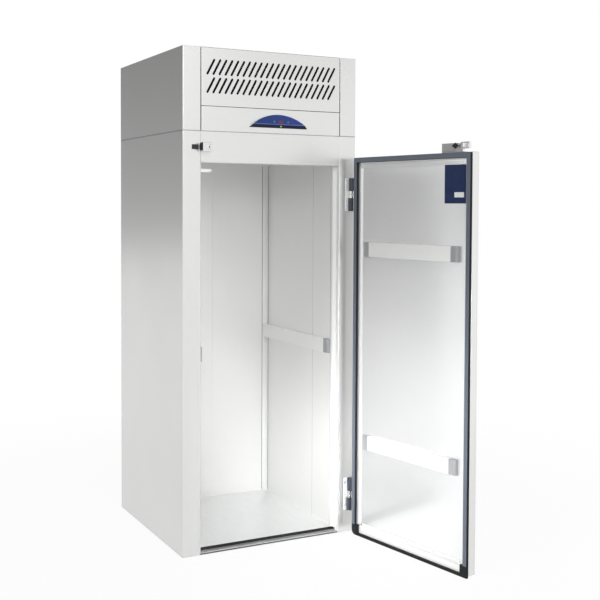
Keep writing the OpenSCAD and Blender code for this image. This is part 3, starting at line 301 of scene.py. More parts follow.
def softened(node, small, wide=None, wide_edges=None, segments=2, clamp=True):
    """A copy of a node with a small bevel on its edges, and a wide one where a rule says so.

    wide_edges takes the middles of all edges, as n rows, and returns n truth values.
    """
    points = node_points(node)
    source = frame["nodes"][node].data
    corners = np.zeros(len(source.loops), np.int32)
    source.loops.foreach_get("vertex_index", corners)
    mesh = bpy.data.meshes.new(f"{node}_finished")
    mesh.from_pydata(points.tolist(), [], corners.reshape(-1, 3).tolist())
    work = bmesh.new()
    work.from_mesh(mesh)
    bmesh.ops.remove_doubles(work, verts=work.verts, dist=5e-6)
    flat_within = math.radians(1.5)
    bmesh.ops.dissolve_limit(work, angle_limit=flat_within, verts=work.verts[:], edges=work.edges[:])
    bend = [e.calc_face_angle(0.0) for e in work.edges]
    work.to_mesh(mesh)
    work.free()
    ends = np.zeros(len(mesh.edges) * 2, np.int32)
    mesh.edges.foreach_get("vertices", ends)
    flat = np.zeros(len(mesh.vertices) * 3, np.float32)
    mesh.vertices.foreach_get("co", flat)
    middles = flat.reshape(-1, 3)[ends.reshape(-1, 2)].mean(axis=1)
    widths = np.where(np.array(bend) > FOLD, small, 0.0)
    if wide_edges is not None:
        widths = np.where(wide_edges(middles) & (widths > 0), wide, widths)
    attribute = mesh.attributes.new("bevel_weight_edge", "FLOAT", "EDGE")
    attribute.data.foreach_set("value", (widths / widths.max()).astype(np.float32))
    obj = linked(mesh.name, mesh)
    finish_mesh(obj, float(widths.max()), segments, weights=True, clamp=clamp)
    body = body_of(frame["nodes"][node])[0]
    parts = frame["record"]["subparts"]
    record_slot = next(part["material_slot"] for part in parts if part["node"] == node)
    return dress(obj, body, record_slot, [node])


print(f"edges sharper than {math.degrees(CREASE):.0f} degrees stay creases")

# %% [markdown]
# ## Finishes as expressions
# A finish is easier to read as arithmetic than as a web of nodes. `Wire` wraps one output socket, and
# its operators add the Math nodes. Everything that is the same all over a surface is set directly on
# the shader, and only colour, roughness and the bump vary.

# %% Wires and finishes
class Wire:
    """One output of a finish's nodes, with the arithmetic that the finishes use."""

    def __init__(self, finish, socket):
        self.finish, self.socket = finish, socket

    def _math(self, operation, *values):
        settings = {"operation": operation}
        return self.finish.node("ShaderNodeMath", settings, dict(enumerate(values)))

    def __add__(self, other):
        return self._math("ADD", self, other)

    __radd__ = __add__

    def __mul__(self, other):
        return self._math("MULTIPLY", self, other)

    def __sub__(self, other):
        return self._math("SUBTRACT", self, other)

    def __rsub__(self, other):
        return self._math("SUBTRACT", other, self)

    def between(self, low, high):
        """0 at low, 1 at high, and a smooth step between them."""
        settings = {"interpolation_type": "SMOOTHSTEP"}
        return self.finish.node("ShaderNodeMapRange", settings, {"Value": self, 1: low, 2: high})


class Finish:
    """A material made round one Principled shader."""

    def __init__(self, name, colour, roughness, metallic=0.0, **constants):
        self.material = bpy.data.materials.new(name)
        self.material.use_nodes = True
        self.tree = self.material.node_tree
        self.shader = self.tree.nodes["Principled BSDF"]
        self.set(colour=colour, roughness=roughness, metallic=metallic, **constants)
        self.material.diffuse_color = (*colour, 1)

    def set(self, **values):
        """Sets or links the shader's sockets, named in lower case with underscores."""
        names = {"colour": "Base Color", "specular": "Specular IOR Level"}
        for key, value in values.items():
            socket = self.shader.inputs[names.get(key, key.replace("_", " ").title())]
            self.feed(socket, (*value, 1) if isinstance(value, tuple) else value)
        return self

    def feed(self, socket, value):
        """Links a wire to a socket, or sets a constant on it."""
        if isinstance(value, Wire):
            self.tree.links.new(value.socket, socket)
        else:
            socket.default_value = value

    def node(self, kind, settings=None, inputs=None, output=0):
        """Adds a node: its settings are set first, then its sockets get values or links."""
        made = self.tree.nodes.new(kind)
        for key, value in (settings or {}).items():
            setattr(made, key, value)
        for key, value in (inputs or {}).items():
            self.feed(made.inputs[key], value)
        return Wire(self, made.outputs[output])

    def place(self, scale=(1, 1, 1), turn=(0, 0, 0)):
        """Object coordinates, turned and scaled."""
        spot = self.node("ShaderNodeTexCoord", output="Object")
        inputs = {"Vector": spot, "Scale": scale, "Rotation": turn}
        return self.node("ShaderNodeMapping", None, inputs)

    def along(self, axis):
        """One of the three object coordinates, in metres."""
        spot = self.node("ShaderNodeTexCoord", output="Object")
        return self.node("ShaderNodeSeparateXYZ", None, {0: spot}, output="XYZ".index(axis))

    def noise(self, scale, detail=3.0, stretch=(1, 1, 1), turn=(0, 0, 0)):
        """Cloudy values round one half. The scale is in cycles for each metre."""
        inputs = {"Vector": self.place(stretch, turn), "Scale": scale, "Detail": detail}
        return self.node("ShaderNodeTexNoise", None, inputs)

    def blend(self, amount, first, second):
        """The first colour where amount is 0, the second where it is 1."""
        colour = lambda c: (*c, 1) if isinstance(c, tuple) else c
        inputs = {0: amount, 6: colour(first), 7: colour(second)}
        return self.node("ShaderNodeMix", {"data_type": "RGBA"}, inputs, output=2)

    def bump(self, height, depth, strength=1.0):
        """Tilts the normal by a height that is given in parts of depth, in metres."""
        inputs = {"Height": height, "Distance": depth, "Strength": strength}
        return self.set(normal=self.node("ShaderNodeBump", None, inputs))


finishes = {}


def finish_of(slot):
    """The material of a slot of the record."""
    return finishes[slot].material


print("finishes are written as expressions")

# %% [markdown]
# ## Sheet metal
# The outer sheets are stainless steel with a fine satin grain that runs upright. The grain is far
# finer than a pixel, so it is modelled as what it does: noise that is stretched along Z varies the
# colour and the roughness across the grain. Slow, wide noise adds the faint clouds that every large
# sheet shows. The door's inner panel is brighter and smoother than the chamber's walls.

# %% Steel
UPRIGHT = (1, 1, 0.012)
LEVEL = (0.012, 1, 1)


def steel(name, colour, dark, roughness, metallic, grain=UPRIGHT, turn=0.0):
    """Satin steel: the grain mixes two colours and two roughnesses, and clouds shift both slightly."""
    made = Finish(name, colour, roughness, metallic)
    lines = made.noise(900, 2, grain, (0, 0, turn)).between(0.0, 1.0)
    clouds = made.noise(3.5, 2)
    made.set(colour=made.blend(lines * 0.16 + clouds * 0.5, colour, dark))
    made.set(roughness=roughness - 0.03 + lines * 0.015 + clouds * 0.05)
    finishes[name] = made


steel("outer_steel", (0.80, 0.80, 0.79), (0.73, 0.73, 0.73), 0.25, 0.62)
steel("inner_steel", (0.90, 0.90, 0.89), (0.82, 0.825, 0.815), 0.32, 0.4)
steel("door_steel", (0.93, 0.935, 0.94), (0.86, 0.865, 0.875), 0.20, 0.65, turn=OPEN_TURN)
steel("rail_steel", (0.93, 0.93, 0.92), (0.87, 0.87, 0.86), 0.30, 0.35, grain=LEVEL)


def galvanised(name="zinc_sheet"):
    """Zinc coating: cells of slightly different grey, as its crystals grow."""
    made = Finish(name, (0.50, 0.52, 0.53), 0.42, 0.75)
    inputs = {"Vector": made.place(), "Scale": 70}
    cells = made.node("ShaderNodeTexVoronoi", None, inputs, output="Color")
    tone = made.node("ShaderNodeSeparateColor", None, {0: cells})
    made.set(colour=made.blend(tone, (0.44, 0.46, 0.47), (0.58, 0.60, 0.61)))
    made.set(roughness=tone * 0.14 + 0.34)
    finishes[name] = made


galvanised()


def floor_metal(name="floor_metal"):
    """Rolled aluminium, scuffed by wheels: noise drawn out along the way in changes its tone and
    its roughness."""
    made = Finish(name, (0.80, 0.81, 0.81), 0.38, 0.5)
    scuffs = made.noise(60, 4, (1, 0.15, 1))
    made.set(colour=made.blend(scuffs, (0.80, 0.81, 0.81), (0.90, 0.905, 0.91)))
    made.set(roughness=scuffs * 0.2 + 0.30)
    made.bump(made.noise(700, 2), 0.0001, 0.4)
    finishes[name] = made


floor_metal()


def polished(name="chrome"):
    """Plated brass or polished steel: nearly a mirror, with a haze of fine wear."""
    made = Finish(name, (0.80, 0.80, 0.80), 0.14, 1.0)
    haze = made.noise(160, 4)
    made.set(roughness=haze * 0.16 + 0.06)
    made.set(colour=made.blend(haze, (0.70, 0.70, 0.71), (0.86, 0.86, 0.86)))
    finishes[name] = made


polished()
print(f"metal finishes: {sorted(finishes)}")

# %% [markdown]
# ## Plastic, rubber, foam and paint
# Moulded and painted surfaces share one recipe: a colour that drifts a little, a fine orange-peel
# or moulding grain in the bump, and a roughness that follows it. Only the numbers differ.

# %% Moulded and painted finishes
def moulded(name, colour, roughness, grain=500, depth=0.00003, drift=0.12, **constants):
    """A colour that drifts between a darker and a lighter version of itself, over a fine grain."""
    made = Finish(name, colour, roughness, **constants)
    fine, slow = made.noise(grain, 2), made.noise(9, 3)
    darker = tuple(c * (1 - drift) for c in colour)
    lighter = tuple(min(1.0, c * (1 + drift)) for c in colour)
    made.set(colour=made.blend(slow, darker, lighter))
    made.set(roughness=fine * 0.10 + slow * 0.06 + (roughness - 0.08))
    made.bump(fine, depth, 0.6)
    finishes[name] = made


moulded("foam", (0.80, 0.70, 0.42), 0.9, grain=300, depth=0.0004)
moulded("foam_white", (0.80, 0.80, 0.77), 0.7, grain=260, depth=0.0003)
moulded("black_plastic", (0.012, 0.012, 0.014), 0.42, drift=0.2, specular=0.3)
moulded("white_plastic", (0.86, 0.86, 0.85), 0.34, drift=0.03)
# A faint glow for the cover over the wall channel's head: painted light that makes it bright.
PAINTED_GLOW = {"emission_color": (1.0, 0.99, 0.96), "emission_strength": 0.5}
moulded("lamp_diffuser", (0.90, 0.90, 0.88), 0.3, drift=0.02, **PAINTED_GLOW)
moulded("heater", (0.42, 0.13, 0.07), 0.5)
moulded("cap_grey", (0.33, 0.34, 0.35), 0.45, drift=0.05)
moulded("hinge_dark", (0.028, 0.034, 0.055), 0.38, drift=0.15, coat_weight=0.2)
moulded("display_red", (0.13, 0.004, 0.008), 0.16, drift=0.2, coat_weight=0.6)
moulded("lamp_green", (0.55, 0.62, 0.06), 0.2, drift=0.1, coat_weight=0.4)
moulded("compressor_black", (0.012, 0.012, 0.013), 0.28, grain=160, coat_weight=0.5)
moulded("mount_rubber", (0.03, 0.03, 0.03), 0.75)
moulded("coil_metal", (0.60, 0.62, 0.63), 0.35, metallic=0.9)
moulded("motor_grey", (0.11, 0.115, 0.125), 0.42, metallic=0.3)
moulded("pipe_metal", (0.62, 0.27, 0.14), 0.3, metallic=0.95, drift=0.2)
moulded("fan_black", (0.004, 0.004, 0.005), 0.6, specular=0.1)
moulded("button_blue", (0.10, 0.14, 0.42), 0.3, drift=0.05, coat_weight=0.4)
moulded("gasket_grey", (0.12, 0.14, 0.175), 0.55, drift=0.06)
moulded("seal_black", (0.010, 0.011, 0.013), 0.55, drift=0.2, specular=0.2)
moulded("latch_grey", (0.40, 0.40, 0.395), 0.4, metallic=0.5, drift=0.1)


def bezel_blue(name="bezel_blue"):
    """A glossy blue moulding: navy below its ridge and at its foot, royal blue above the ridge with a
    painted sheen that grows towards +X, and a paler line between them that is a painted highlight."""
    coat = {"coat_weight": 0.12, "coat_roughness": 0.1}
    made = Finish(name, (0.03, 0.05, 0.22), 0.3, specular=0.2, **coat)
    low, high = box("controller_bezel")
    ridge = float(low[2]) + 14 * MM
    height, across = made.along("Z"), made.along("X")
    # Painted sheen: the face is lighter towards +X.
    sheen = across.between(float(low[0]), float(high[0]))
    face = made.blend(sheen, (0.022, 0.050, 0.18), (0.034, 0.062, 0.27))
    foot = float(low[1]) + 10.4 * MM
    front = made.along("Y").between(foot + 0.8 * MM, foot)
    whole = made.blend(height.between(ridge - 1 * MM, ridge) * front, (0.003, 0.008, 0.036), face)
    # Painted highlight: a paler band just above the ridge.
    line = height.between(ridge - 0.5 * MM, ridge + 0.5 * MM)
    line = line - height.between(ridge + 2 * MM, ridge + 4 * MM)
    made.set(colour=made.blend(line * 0.6, whole, (0.20, 0.25, 0.52)))
    made.bump(made.noise(420, 2), 0.00002, 0.4)
    finishes[name] = made


bezel_blue()


def label_blue(name="label_blue"):
    """A navy film with nothing printed on it, whose tone drifts a little."""
    made = Finish(name, (0.010, 0.024, 0.085), 0.35, specular=0.25)
    slow = made.noise(30, 2)
    made.set(colour=made.blend(slow, (0.008, 0.020, 0.075), (0.013, 0.030, 0.10)))
    finishes[name] = made


label_blue()

# %% [markdown]
# ## The nodes that keep their own shape
# What nobody sees, such as the foam inside the walls, and flat sheets whose edges lie against
# others, keep the frame's own mesh. They still get their finish.

# %% Finish every node
for part in frame["record"]["subparts"]:
    node = frame["nodes"][part["node"]]
    node.data.materials.clear()
    node.data.materials.append(finish_of(part["material_slot"]))
print(f"{len(frame['nodes'])} nodes have a finish")

# %% [markdown]
# ## The cabinet's folded sheets
# Each side is one sheet that wraps round the front post and turns in at the opening. Its plan is an
# outline with a real bend radius outside and that radius less the sheet's thickness inside. Where
# two such bends meet, they leave a narrow groove, and a dark strip behind it paints the shade that
# the eye reads as a seam.

# %% Sides and header
header_low, header_high = box("header_skin")
side_low, side_high = box("side_skins")
SHEET = 1.2 * MM
BEND = 3.2 * MM
LIP = float(header_high[1])
OPENING = float(header_high[0]) + 0.25 * MM


def post_plan(back):
    """The plan of the right-hand sheet, from its back edge round the post to its lip."""
    w, front = side_high[0], side_low[1]
    corners = [
        (w, back), (w, front), (OPENING, front), (OPENING, LIP),
        (OPENING + SHEET, LIP), (OPENING + SHEET, front + SHEET), (w - SHEET, front + SHEET),
        (w - SHEET, back),
    ]
    return rounded(corners, [0, BEND, BEND, 0, 0, BEND - SHEET, BEND - SHEET, 0], 7)


def folded_sides(name, node, slot, above=0.0, below=0.0):
    """A left and a right sheet of one plan, as tall as their node less a joint above or below."""
    low, high = box(node)
    shape = Shape().prism(post_plan(high[1]), "z", low[2] + below, high[2] - above).mirrored()
    piece(name, shape, "cabinet", slot, [node], bevel=0.3 * MM)


JOINT = 1.6 * MM
folded_sides("cabinet_sides", "side_skins", "outer_steel", above=JOINT / 2)
folded_sides("machine_housing_sides", "housing_sides", "outer_steel", below=JOINT / 2)


def header():
    """The sheet over the opening: a front face with a bend along its foot, and its lip behind that."""
    front, low, top = header_low[1], header_low[2], header_high[2] - 0.9 * MM
    inner = front + SHEET
    corners = [
        (front, low), (front, top), (inner, top), (inner, low + SHEET), (LIP, low + SHEET), (LIP, low),
    ]
    outline = rounded(corners, [BEND, 0, 0, BEND - SHEET, 0, 0], 7)
    shape = Shape().prism(outline, "x", header_low[0], header_high[0])
    piece("header_sheet", shape, "cabinet", "outer_steel", ["header_skin"], bevel=1.0 * MM)


header()


def sheet_joints():
    """Dark strips a little behind the sheets' faces: painted shade in the gaps between the sheets. They
    show as thin lines in the joints: black ones between the trays and the posts, and greyer ones beside
    the header."""
    w, front, back, joint_z = side_high[0], side_low[1], side_high[1], side_high[2]
    tray_top = box("louvre_panel")[1][2]
    fascia_low, fascia_high = box("control_fascia")
    set_in, deep, inner_bend = 0.3 * MM, 1.15 * MM, BEND + 0.2 * MM
    post = OPENING + 3 * MM
    outer = [(post, front + set_in), (w - BEND, front + set_in), (w - set_in, front + BEND),
             (w - set_in, back)]
    inner = [(w - deep, back), (w - deep, front + inner_bend), (w - inner_bend, front + deep),
             (post, front + deep)]
    shape = Shape().prism(outer + inner, "z", joint_z - JOINT, joint_z + JOINT)
    start, end = front + 0.15 * MM, front + 2.6 * MM
    foot = (OPENING - 2.2 * MM, start, fascia_low[2])
    shape.block(foot, (OPENING + 1.9 * MM, end, tray_top - 2 * MM)).mirrored()
    for z, half in ((fascia_high[2], 2.4 * MM), (fascia_low[2], 2.0 * MM)):
        shape.block((-OPENING, start, z - half), (OPENING, end, z + half))
    piece("sheet_joints", shape, "cabinet", "seal_black")
    upright, half = Shape(), 1.5 * MM
    foot = (OPENING - half, front + 1.3 * MM, header_low[2] + 3 * MM)
    upright.block(foot, (OPENING + half, end, fascia_low[2] - 2.2 * MM)).mirrored()
    piece("header_joints", upright, "cabinet", "cap_grey")


sheet_joints()


def air_filter():
    """A black mat close behind the slotted panel: a dark sheet that paints the shade seen through the
    slots.
    """
    low, high = box("louvre_panel")
    start = (low[0] + 20 * MM, low[1] + 4 * MM, low[2] + 30 * MM)
    end = (high[0] - 20 * MM, low[1] + 7 * MM, high[2] - 25 * MM)
    piece("air_filter", Shape().block(start, end), "cabinet", "fan_black", bevel=1 * MM)


air_filter()
print(f"the opening is {2000 * OPENING:.0f} mm wide")

# %% [markdown]
# ## The housing's front
# Two shallow trays close the machine housing. Their outer edges are folded a little tighter than the
# posts, while the punched slots have only a broken edge. A bevel with a weight on each edge does both
# at once.

# %% Trays, controller and back sheets
def outline_edges(node, depth=2 * MM):
    """A rule that picks the edges round the front face of a tray."""
    low, high = box(node)

    def rule(middles):
        front = middles[:, 1] < low[1] + depth
        across = middles[:, [0, 2]]
        rim = (np.abs(across - low[[0, 2]]) < 1e-4) | (np.abs(across - high[[0, 2]]) < 1e-4)
        return front & rim.any(axis=1)

    return rule


TRAY_FOLD, TRAY_EDGE = 2.4 * MM, 0.35 * MM
softened("louvre_panel", TRAY_EDGE, TRAY_FOLD, outline_edges("louvre_panel"), 3, clamp=False)
softened("control_fascia", TRAY_EDGE, TRAY_FOLD, outline_edges("control_fascia"), 3)


def bezel_tips(middles, reach=45 * MM):
    """A rule that picks the bezel's edges near its two tips, away from its display and buttons."""
    centre = (box("button_left")[0][0] + box("button_right")[1][0]) / 2
    return np.abs(middles[:, 0] - centre) > reach


softened("controller_bezel", 0.4 * MM, 1.6 * MM, bezel_tips, 4)
softened("controller_unit", 0.6 * MM)
softened("indicator_lamp", 0.8 * MM)
for side in ("left", "right"):
    softened(f"button_{side}", 0.7 * MM)
softened("housing_top_panel", 0.4 * MM)
softened("housing_back_panel", 0.3 * MM)
softened("back_skin", 0.3 * MM)
print("the housing is closed")

# %% [markdown]
# ## Round the opening
# White plastic strips keep the cold inner sheet apart from the warm outer one. A black nosing and a
# metal plate make the sill that a trolley's wheels roll over.

# %% Opening and sill
softened("threshold_base", 0.8 * MM)
softened("threshold_sill", 0.6 * MM)
softened("corner_coves", 0.5 * MM)
softened("rear_wall_channel", 3.0 * MM, segments=4)


def opening_profile():
    """A white strip over the sheets' returns, up both sides and across the top of the opening."""
    sill_top = float(box("threshold_sill")[1][2])
    front, back, thin, play = float(side_low[1]) + 1.6 * MM, LIP, 0.9 * MM, 0.05 * MM
    top, radii = float(header_low[2]), [0.4 * MM, 0, 0, 0.3 * MM]
    near, far = OPENING - thin, OPENING - play
    plan = rounded([(near, front), (far, front), (far, back), (near, back)], radii, 4)
    shape = Shape().prism(plan, "z", sill_top, top).mirrored()
    near, far = top - thin, top - play
    section = rounded([(front, near), (front, far), (back, far), (back, near)], radii, 4)
    shape.prism(section, "x", -OPENING, OPENING)
    piece("opening_profile", shape, "cabinet", "white_plastic")


def chamber_joints():
    """Beads of sealant where the side walls meet the white strip, and a flush joint in each wall."""
    strip_back = float(box("opening_breaker")[1][1])
    side = float(box("corner_coves")[1][0])
    bottom, top = float(box("floor_plate")[1][2]), float(header_low[2])
    at_strip, in_wall = (strip_back, 0.9 * MM, 1.2 * MM), (strip_back + 175 * MM, 0.35 * MM, 0.8 * MM)
    shape = Shape()
    for y, proud, half in (at_strip, in_wall):
        root, crest = side + 0.2 * MM, side - proud
        bead = [(root, y - half), (crest, y - 0.5 * half), (crest, y + 0.5 * half), (root, y + half)]
        shape.prism(bead, "z", bottom, top)
    piece("chamber_joints", shape.mirrored(), "cabinet", "cap_grey")


def lamp_cover():
    """A shallow moulded cover over the head of the wall channel. It glows faintly: painted light that
    makes it bright.
    """
    low, high = box("rear_wall_channel")
    middle, half = (low[0] + high[0]) / 2, (high[0] - low[0]) / 2 - 6 * MM
    foot, top = high[2] + 2 * MM, high[2] + 16 * MM
    outline = rounded(rectangle((middle - half, foot), (middle + half, top)), 6 * MM, 5)
    shape = Shape().prism(outline, "y", low[1] - 2 * MM, high[1])
    made = piece("lamp_cover", shape, "cabinet", "white_plastic", bevel=2 * MM, segments=3)
    made.data.materials[0] = finish_of("lamp_diffuser")


opening_profile()
chamber_joints()
lamp_cover()


def cove_joints():
    """Sealed joints along both edges of the upright coves: half-round beads of sealant."""
    high, radius = box("corner_coves")[1], 24 * MM
    side, back = float(high[0]), float(high[1])
    bottom, top = float(box("rear_wall_channel")[0][2]) - radius, float(high[2]) - radius
    angle = np.linspace(0, math.pi, 7)
    wide, proud = 1.6 * MM * np.cos(angle), 1.3 * MM * np.sin(angle)
    on_back = np.stack([side - radius + wide, back - proud], axis=1)
    on_side = np.stack([side - proud, back - radius + wide], axis=1)
    shape = Shape().prism(on_back, "z", bottom, top).prism(on_side, "z", bottom, top)
    piece("cove_joints", shape.mirrored(), "cabinet", "gasket_grey")


cove_joints()
softened("ceiling_grilles", 0.3 * MM)
softened("keeper", 1.0 * MM, segments=3)


def keeper_trim():
    """A moulded cover on the keeper's lip, a black wedge on the post that paints the keeper's shadow,
    and a flat screw.
    """
    low, high = box("keeper")
    left, front, back, middle = low[0], low[1], high[1], (low[2] + high[2]) / 2
    proud, lap = 1.2 * MM, 0.2 * MM
    corners = [
        (left - proud, front - proud), (left + 8 * MM, front - proud), (left + 8 * MM, front + lap),
        (left + lap, front + lap), (left + lap, back - 9 * MM), (left - proud, back - 9 * MM),
    ]
    cover = Shape().prism(rounded(corners, 0.5 * MM, 3), "z", low[2] + 1 * MM, high[2] - 1 * MM)
    piece("keeper_cover", cover, "cabinet", "black_plastic")
    # Painted shadow: a thin black wedge on the post, tapering to the left, where the keeper's shadow
    # falls.
    wedge = np.array([(-34, 0), (-33, -0.6), (-9, -6), (-5, -6), (-5, 0)]) * MM + (left, back)
    shadow_wedge = Shape().prism(wedge, "z", middle - 11 * MM, middle + 10 * MM)
    piece("keeper_pad", shadow_wedge, "cabinet", "black_plastic", bevel=0.5 * MM, segments=3)
    disc = np.array([(0, 0), (7.5, 0), (7.5, -0.4), (7, -0.8), (0, -0.8)]) * MM
    screw = Shape().revolve(disc, (high[0] - 8 * MM, back - 2.9 * MM, middle), "y", 24)
    piece("keeper_screw", screw, "cabinet", "black_plastic")


keeper_trim()
print("the opening is trimmed")

# %% [markdown]
# ## The floor
# The floor is a rolled tread plate. Its studs are real geometry: one flat lozenge with sloped sides
# is worked out once, and copies of it, alternately turned, are set out on two interleaved grids.

# %% Tread plate
TREAD_PITCH = 13 * MM
STUD_HALF = np.array([4.6, 1.5]) * MM
STUD_RISE = 0.55 * MM


def tread_plate():
    """Studs on a square pattern: each has a foot of four points and a smaller top of four points."""
    low, high = box("floor_plate")
    margin = TREAD_PITCH
    x = np.arange(low[0] + margin, high[0] - margin / 2, TREAD_PITCH)
    y = np.arange(low[1] + margin, high[1] - margin / 2, TREAD_PITCH)
    gx, gy = np.meshgrid(x, y, indexing="ij")
    odd = (np.add.outer(np.arange(len(x)), np.arange(len(y))) % 2).ravel()
    centres = np.stack([gx.ravel(), gy.ravel()], axis=-1)
    lozenge = np.array([(1, 0), (0, 1), (-1, 0), (0, -1)]) * STUD_HALF
    foot_and_top = np.concatenate([lozenge, lozenge * (0.72, 0.55)])
    heights = np.repeat([high[2] - 0.1 * MM, high[2] + STUD_RISE], 4)
    angle = np.where(odd, math.pi / 4, -math.pi / 4)
    c, s = np.cos(angle)[:, None], np.sin(angle)[:, None]
    px = centres[:, :1] + c * foot_and_top[:, 0] - s * foot_and_top[:, 1]
    py = centres[:, 1:] + s * foot_and_top[:, 0] + c * foot_and_top[:, 1]
    points = np.stack([px, py, np.broadcast_to(heights, px.shape)], axis=-1)
    ring = np.arange(4)
    sides = np.stack([ring, (ring + 1) % 4, (ring + 1) % 4 + 4, ring + 4], axis=-1)
    faces = np.concatenate([sides, [ring[::-1]], [ring + 4]])
    starts = 8 * np.arange(len(centres))[:, None, None]
    shape = Shape().block(low, high)
    shape.add(points, (faces[None] + starts).reshape(-1, 4))
    piece("tread_floor", shape, "cabinet", "floor_metal", ["floor_plate"])
    print(f"the floor has {len(centres)} studs")


tread_plate()

# %% [markdown]
# ## Bumper rails
# The rails keep the trolley off the walls. Each is a folded channel whose edges are rounded, with a
# moulded grey cap at each end. The frame's rails and caps, on the walls and on the door, get these
# rounded edges.

# %% Rails and caps
softened("wall_bumper_rails", 0.8 * MM, segments=3)
softened("wall_bumper_caps", 1.2 * MM, segments=3)
softened("door_bumper_rails", 0.8 * MM, segments=3)
softened("door_bumper_caps", 1.2 * MM, segments=3)
print("rails are rounded")

# %% [markdown]
# ## The door's two sheets
# The outer sheet is a pan with a folded rim. The inner sheet is pressed: from the rim it slopes down
# into a shallow dish with round corners. Its depth is a function of the distance to a rounded
# rectangle, so one formula gives the slope, the corners and the flat middle.

# %% Door sheets
rim_low, rim_high = shut_box("door_outer_skin")
dish_low, dish_high = shut_box("door_inner_panel")


def pan_folds(middles, within=0.1 * MM):
    """A rule that picks the outer folds of the pan: they lie on two faces of its box at once."""
    points = turned(middles, -OPEN_TURN)
    on = (np.abs(points - rim_low) < within) | (np.abs(points - rim_high) < within)
    return on.sum(axis=1) >= 2


softened("door_outer_skin", 0.4 * MM, 2.2 * MM, pan_folds, 4)


def eased(low, high, count, edge):
    """Steps from low to high that are dense within an edge at both ends."""
    ends = np.linspace(0, edge, 9)
    middle = np.linspace(low + edge, high - edge, count)[1:-1]
    return np.concatenate([low + ends, middle, high - ends[::-1]])


def dished_panel():
    """Depth = sink x smooth step of t, where 1 - t is the length of the vector of what is missing to
    each slope's full width. That length makes round corners. The slope is wide on the hinge side and
    at the top, and steep at the foot and on the free side."""
    slope, foot_slope, free_slope, thick = 26 * MM, 8 * MM, 8 * MM, 0.8 * MM
    sink = float(dish_high[1] - shut_box("door_label")[0][1])
    x = np.concatenate([
        np.linspace(dish_low[0], dish_low[0] + free_slope, 9)[:-1],
        eased(dish_low[0] + free_slope, dish_high[0], 26, slope),
    ])
    z = np.concatenate([
        np.linspace(dish_low[2], dish_low[2] + foot_slope, 9)[:-1],
        eased(dish_low[2] + foot_slope, dish_high[2], 50, slope),
    ])
    gx, gz = np.meshgrid(x, z, indexing="ij")
    missing_x = 1 - np.minimum((gx - dish_low[0]) / free_slope, (dish_high[0] - gx) / slope)
    missing_z = 1 - np.minimum((gz - dish_low[2]) / foot_slope, (dish_high[2] - gz) / slope)
    t = np.clip(1 - np.hypot(np.maximum(missing_x, 0), np.maximum(missing_z, 0)), 0, 1)
    y = dish_high[1] - sink * t * t * (3 - 2 * t)
    front = np.stack([gx, y, gz], axis=-1)
    back = np.stack([gx, y - thick, gz], axis=-1)
    shape = Shape().grid(front).grid(back[:, ::-1])
    for edge in ((0,), (-1,), (slice(None), 0), (slice(None), -1)):
        shape.grid(np.stack([front[edge], back[edge]]))
    made = piece("dished_door_panel", shape, "door", "inner_steel", ["door_inner_panel"], shut=True)
    made.data.materials[0] = finish_of("door_steel")
    print(f"the inner sheet is {sink / MM:.0f} mm deep")


dished_panel()

# %% [markdown]
# ## The gasket
# A magnetic gasket has a bellows that gives, and a paler head with the magnet in it. The bellows is
# black, which paints the shade that falls on the gasket's sides. Both are profiles carried up one
# side, across the top and down the other, with mitred corners: at a corner, a point that lies further
# in simply turns earlier.

# %% Gasket
gasket_low, gasket_high = shut_box("door_gasket")


def carried_round(profile):
    """A closed profile of (distance inwards, depth) carried round three sides of the gasket's box."""
    profile = np.asarray(profile, float)
    s, depth = profile[:, 0], profile[:, 1]
    left, right = gasket_low[0] + s, gasket_high[0] - s
    foot, top = np.full(len(s), gasket_low[2]), gasket_high[2] - s
    path_x = np.stack([left, left, right, right], axis=1)
    path_z = np.stack([foot, top, top, foot], axis=1)
    path_y = np.repeat((gasket_low[1] + depth)[:, None], 4, axis=1)
    points = np.stack([path_x, path_y, path_z], axis=-1)
    n = len(profile)
    shape = Shape().grid(points, wrap=True)
    shape.faces += [[4 * i for i in range(n)], [4 * i + 3 for i in reversed(range(n))]]
    return shape


def gasket():
    """The bellows is waisted between its foot and its head, and black as painted shade on the gasket's
    sides; a paler strip covers the head's face.
    """
    width = 23 * MM
    depth = float(gasket_high[1] - gasket_low[1])
    face = depth - 1.3 * MM
    inset, waist = 0.5 * MM, 3 * MM
    bellows = rounded(
        [(inset, 0), (width - inset, 0), (width - inset, 3 * MM), (width - waist, 5 * MM),
         (width - inset, 7.5 * MM), (width - inset, face), (inset, face), (inset, 7.5 * MM),
         (waist, 5 * MM), (inset, 3 * MM)],
        [0.8 * MM] * 5 + [0.4 * MM] * 2 + [0.8 * MM] * 3, 4,
    )
    strip = rectangle((1.4 * MM, face - 0.2 * MM), (width - 1.4 * MM, depth))
    head = rounded(strip, [0.2 * MM, 0.2 * MM, 1.2 * MM, 1.2 * MM], 6)
    piece("gasket_bellows", carried_round(bellows), "door", "seal_black", ["door_gasket"], shut=True)
    piece("gasket_head", carried_round(head), "door", "gasket_grey", ["door_gasket"], shut=True)


gasket()
softened("door_bottom_seal", 1.2 * MM, segments=3)
softened("door_kick_plate", 0.4 * MM)
print("the door is sealed")

# %% [markdown]
# ## Screws, label and latch
# Small things close the picture: round screw heads, a navy plate with nothing printed on it, and
# the latch, whose ribbed case stands on the door's top edge.

# %% Door fittings
softened("kick_plate_screws", 0.5 * MM)
softened("door_label", 0.2 * MM)


def label_field():
    """A thin white field on the plate, near its lower edge on the free side."""
    low, high = shut_box("door_label")
    start = np.array([low[0] + 11 * MM, high[1], low[2] + 25 * MM])
    end = np.array([low[0] + 65 * MM, high[1] + 0.15 * MM, low[2] + 46 * MM])
    outline = rounded(rectangle((start[0], start[2]), (end[0], end[2])), 1 * MM, 4)
    shape = Shape().prism(outline, "y", start[1], end[1])
    piece("label_field", shape, "door", "white_plastic", shut=True)


label_field()
for node in ("hinge_door_leaves", "hinge_pins"):
    softened(node, 0.8 * MM, segments=3)


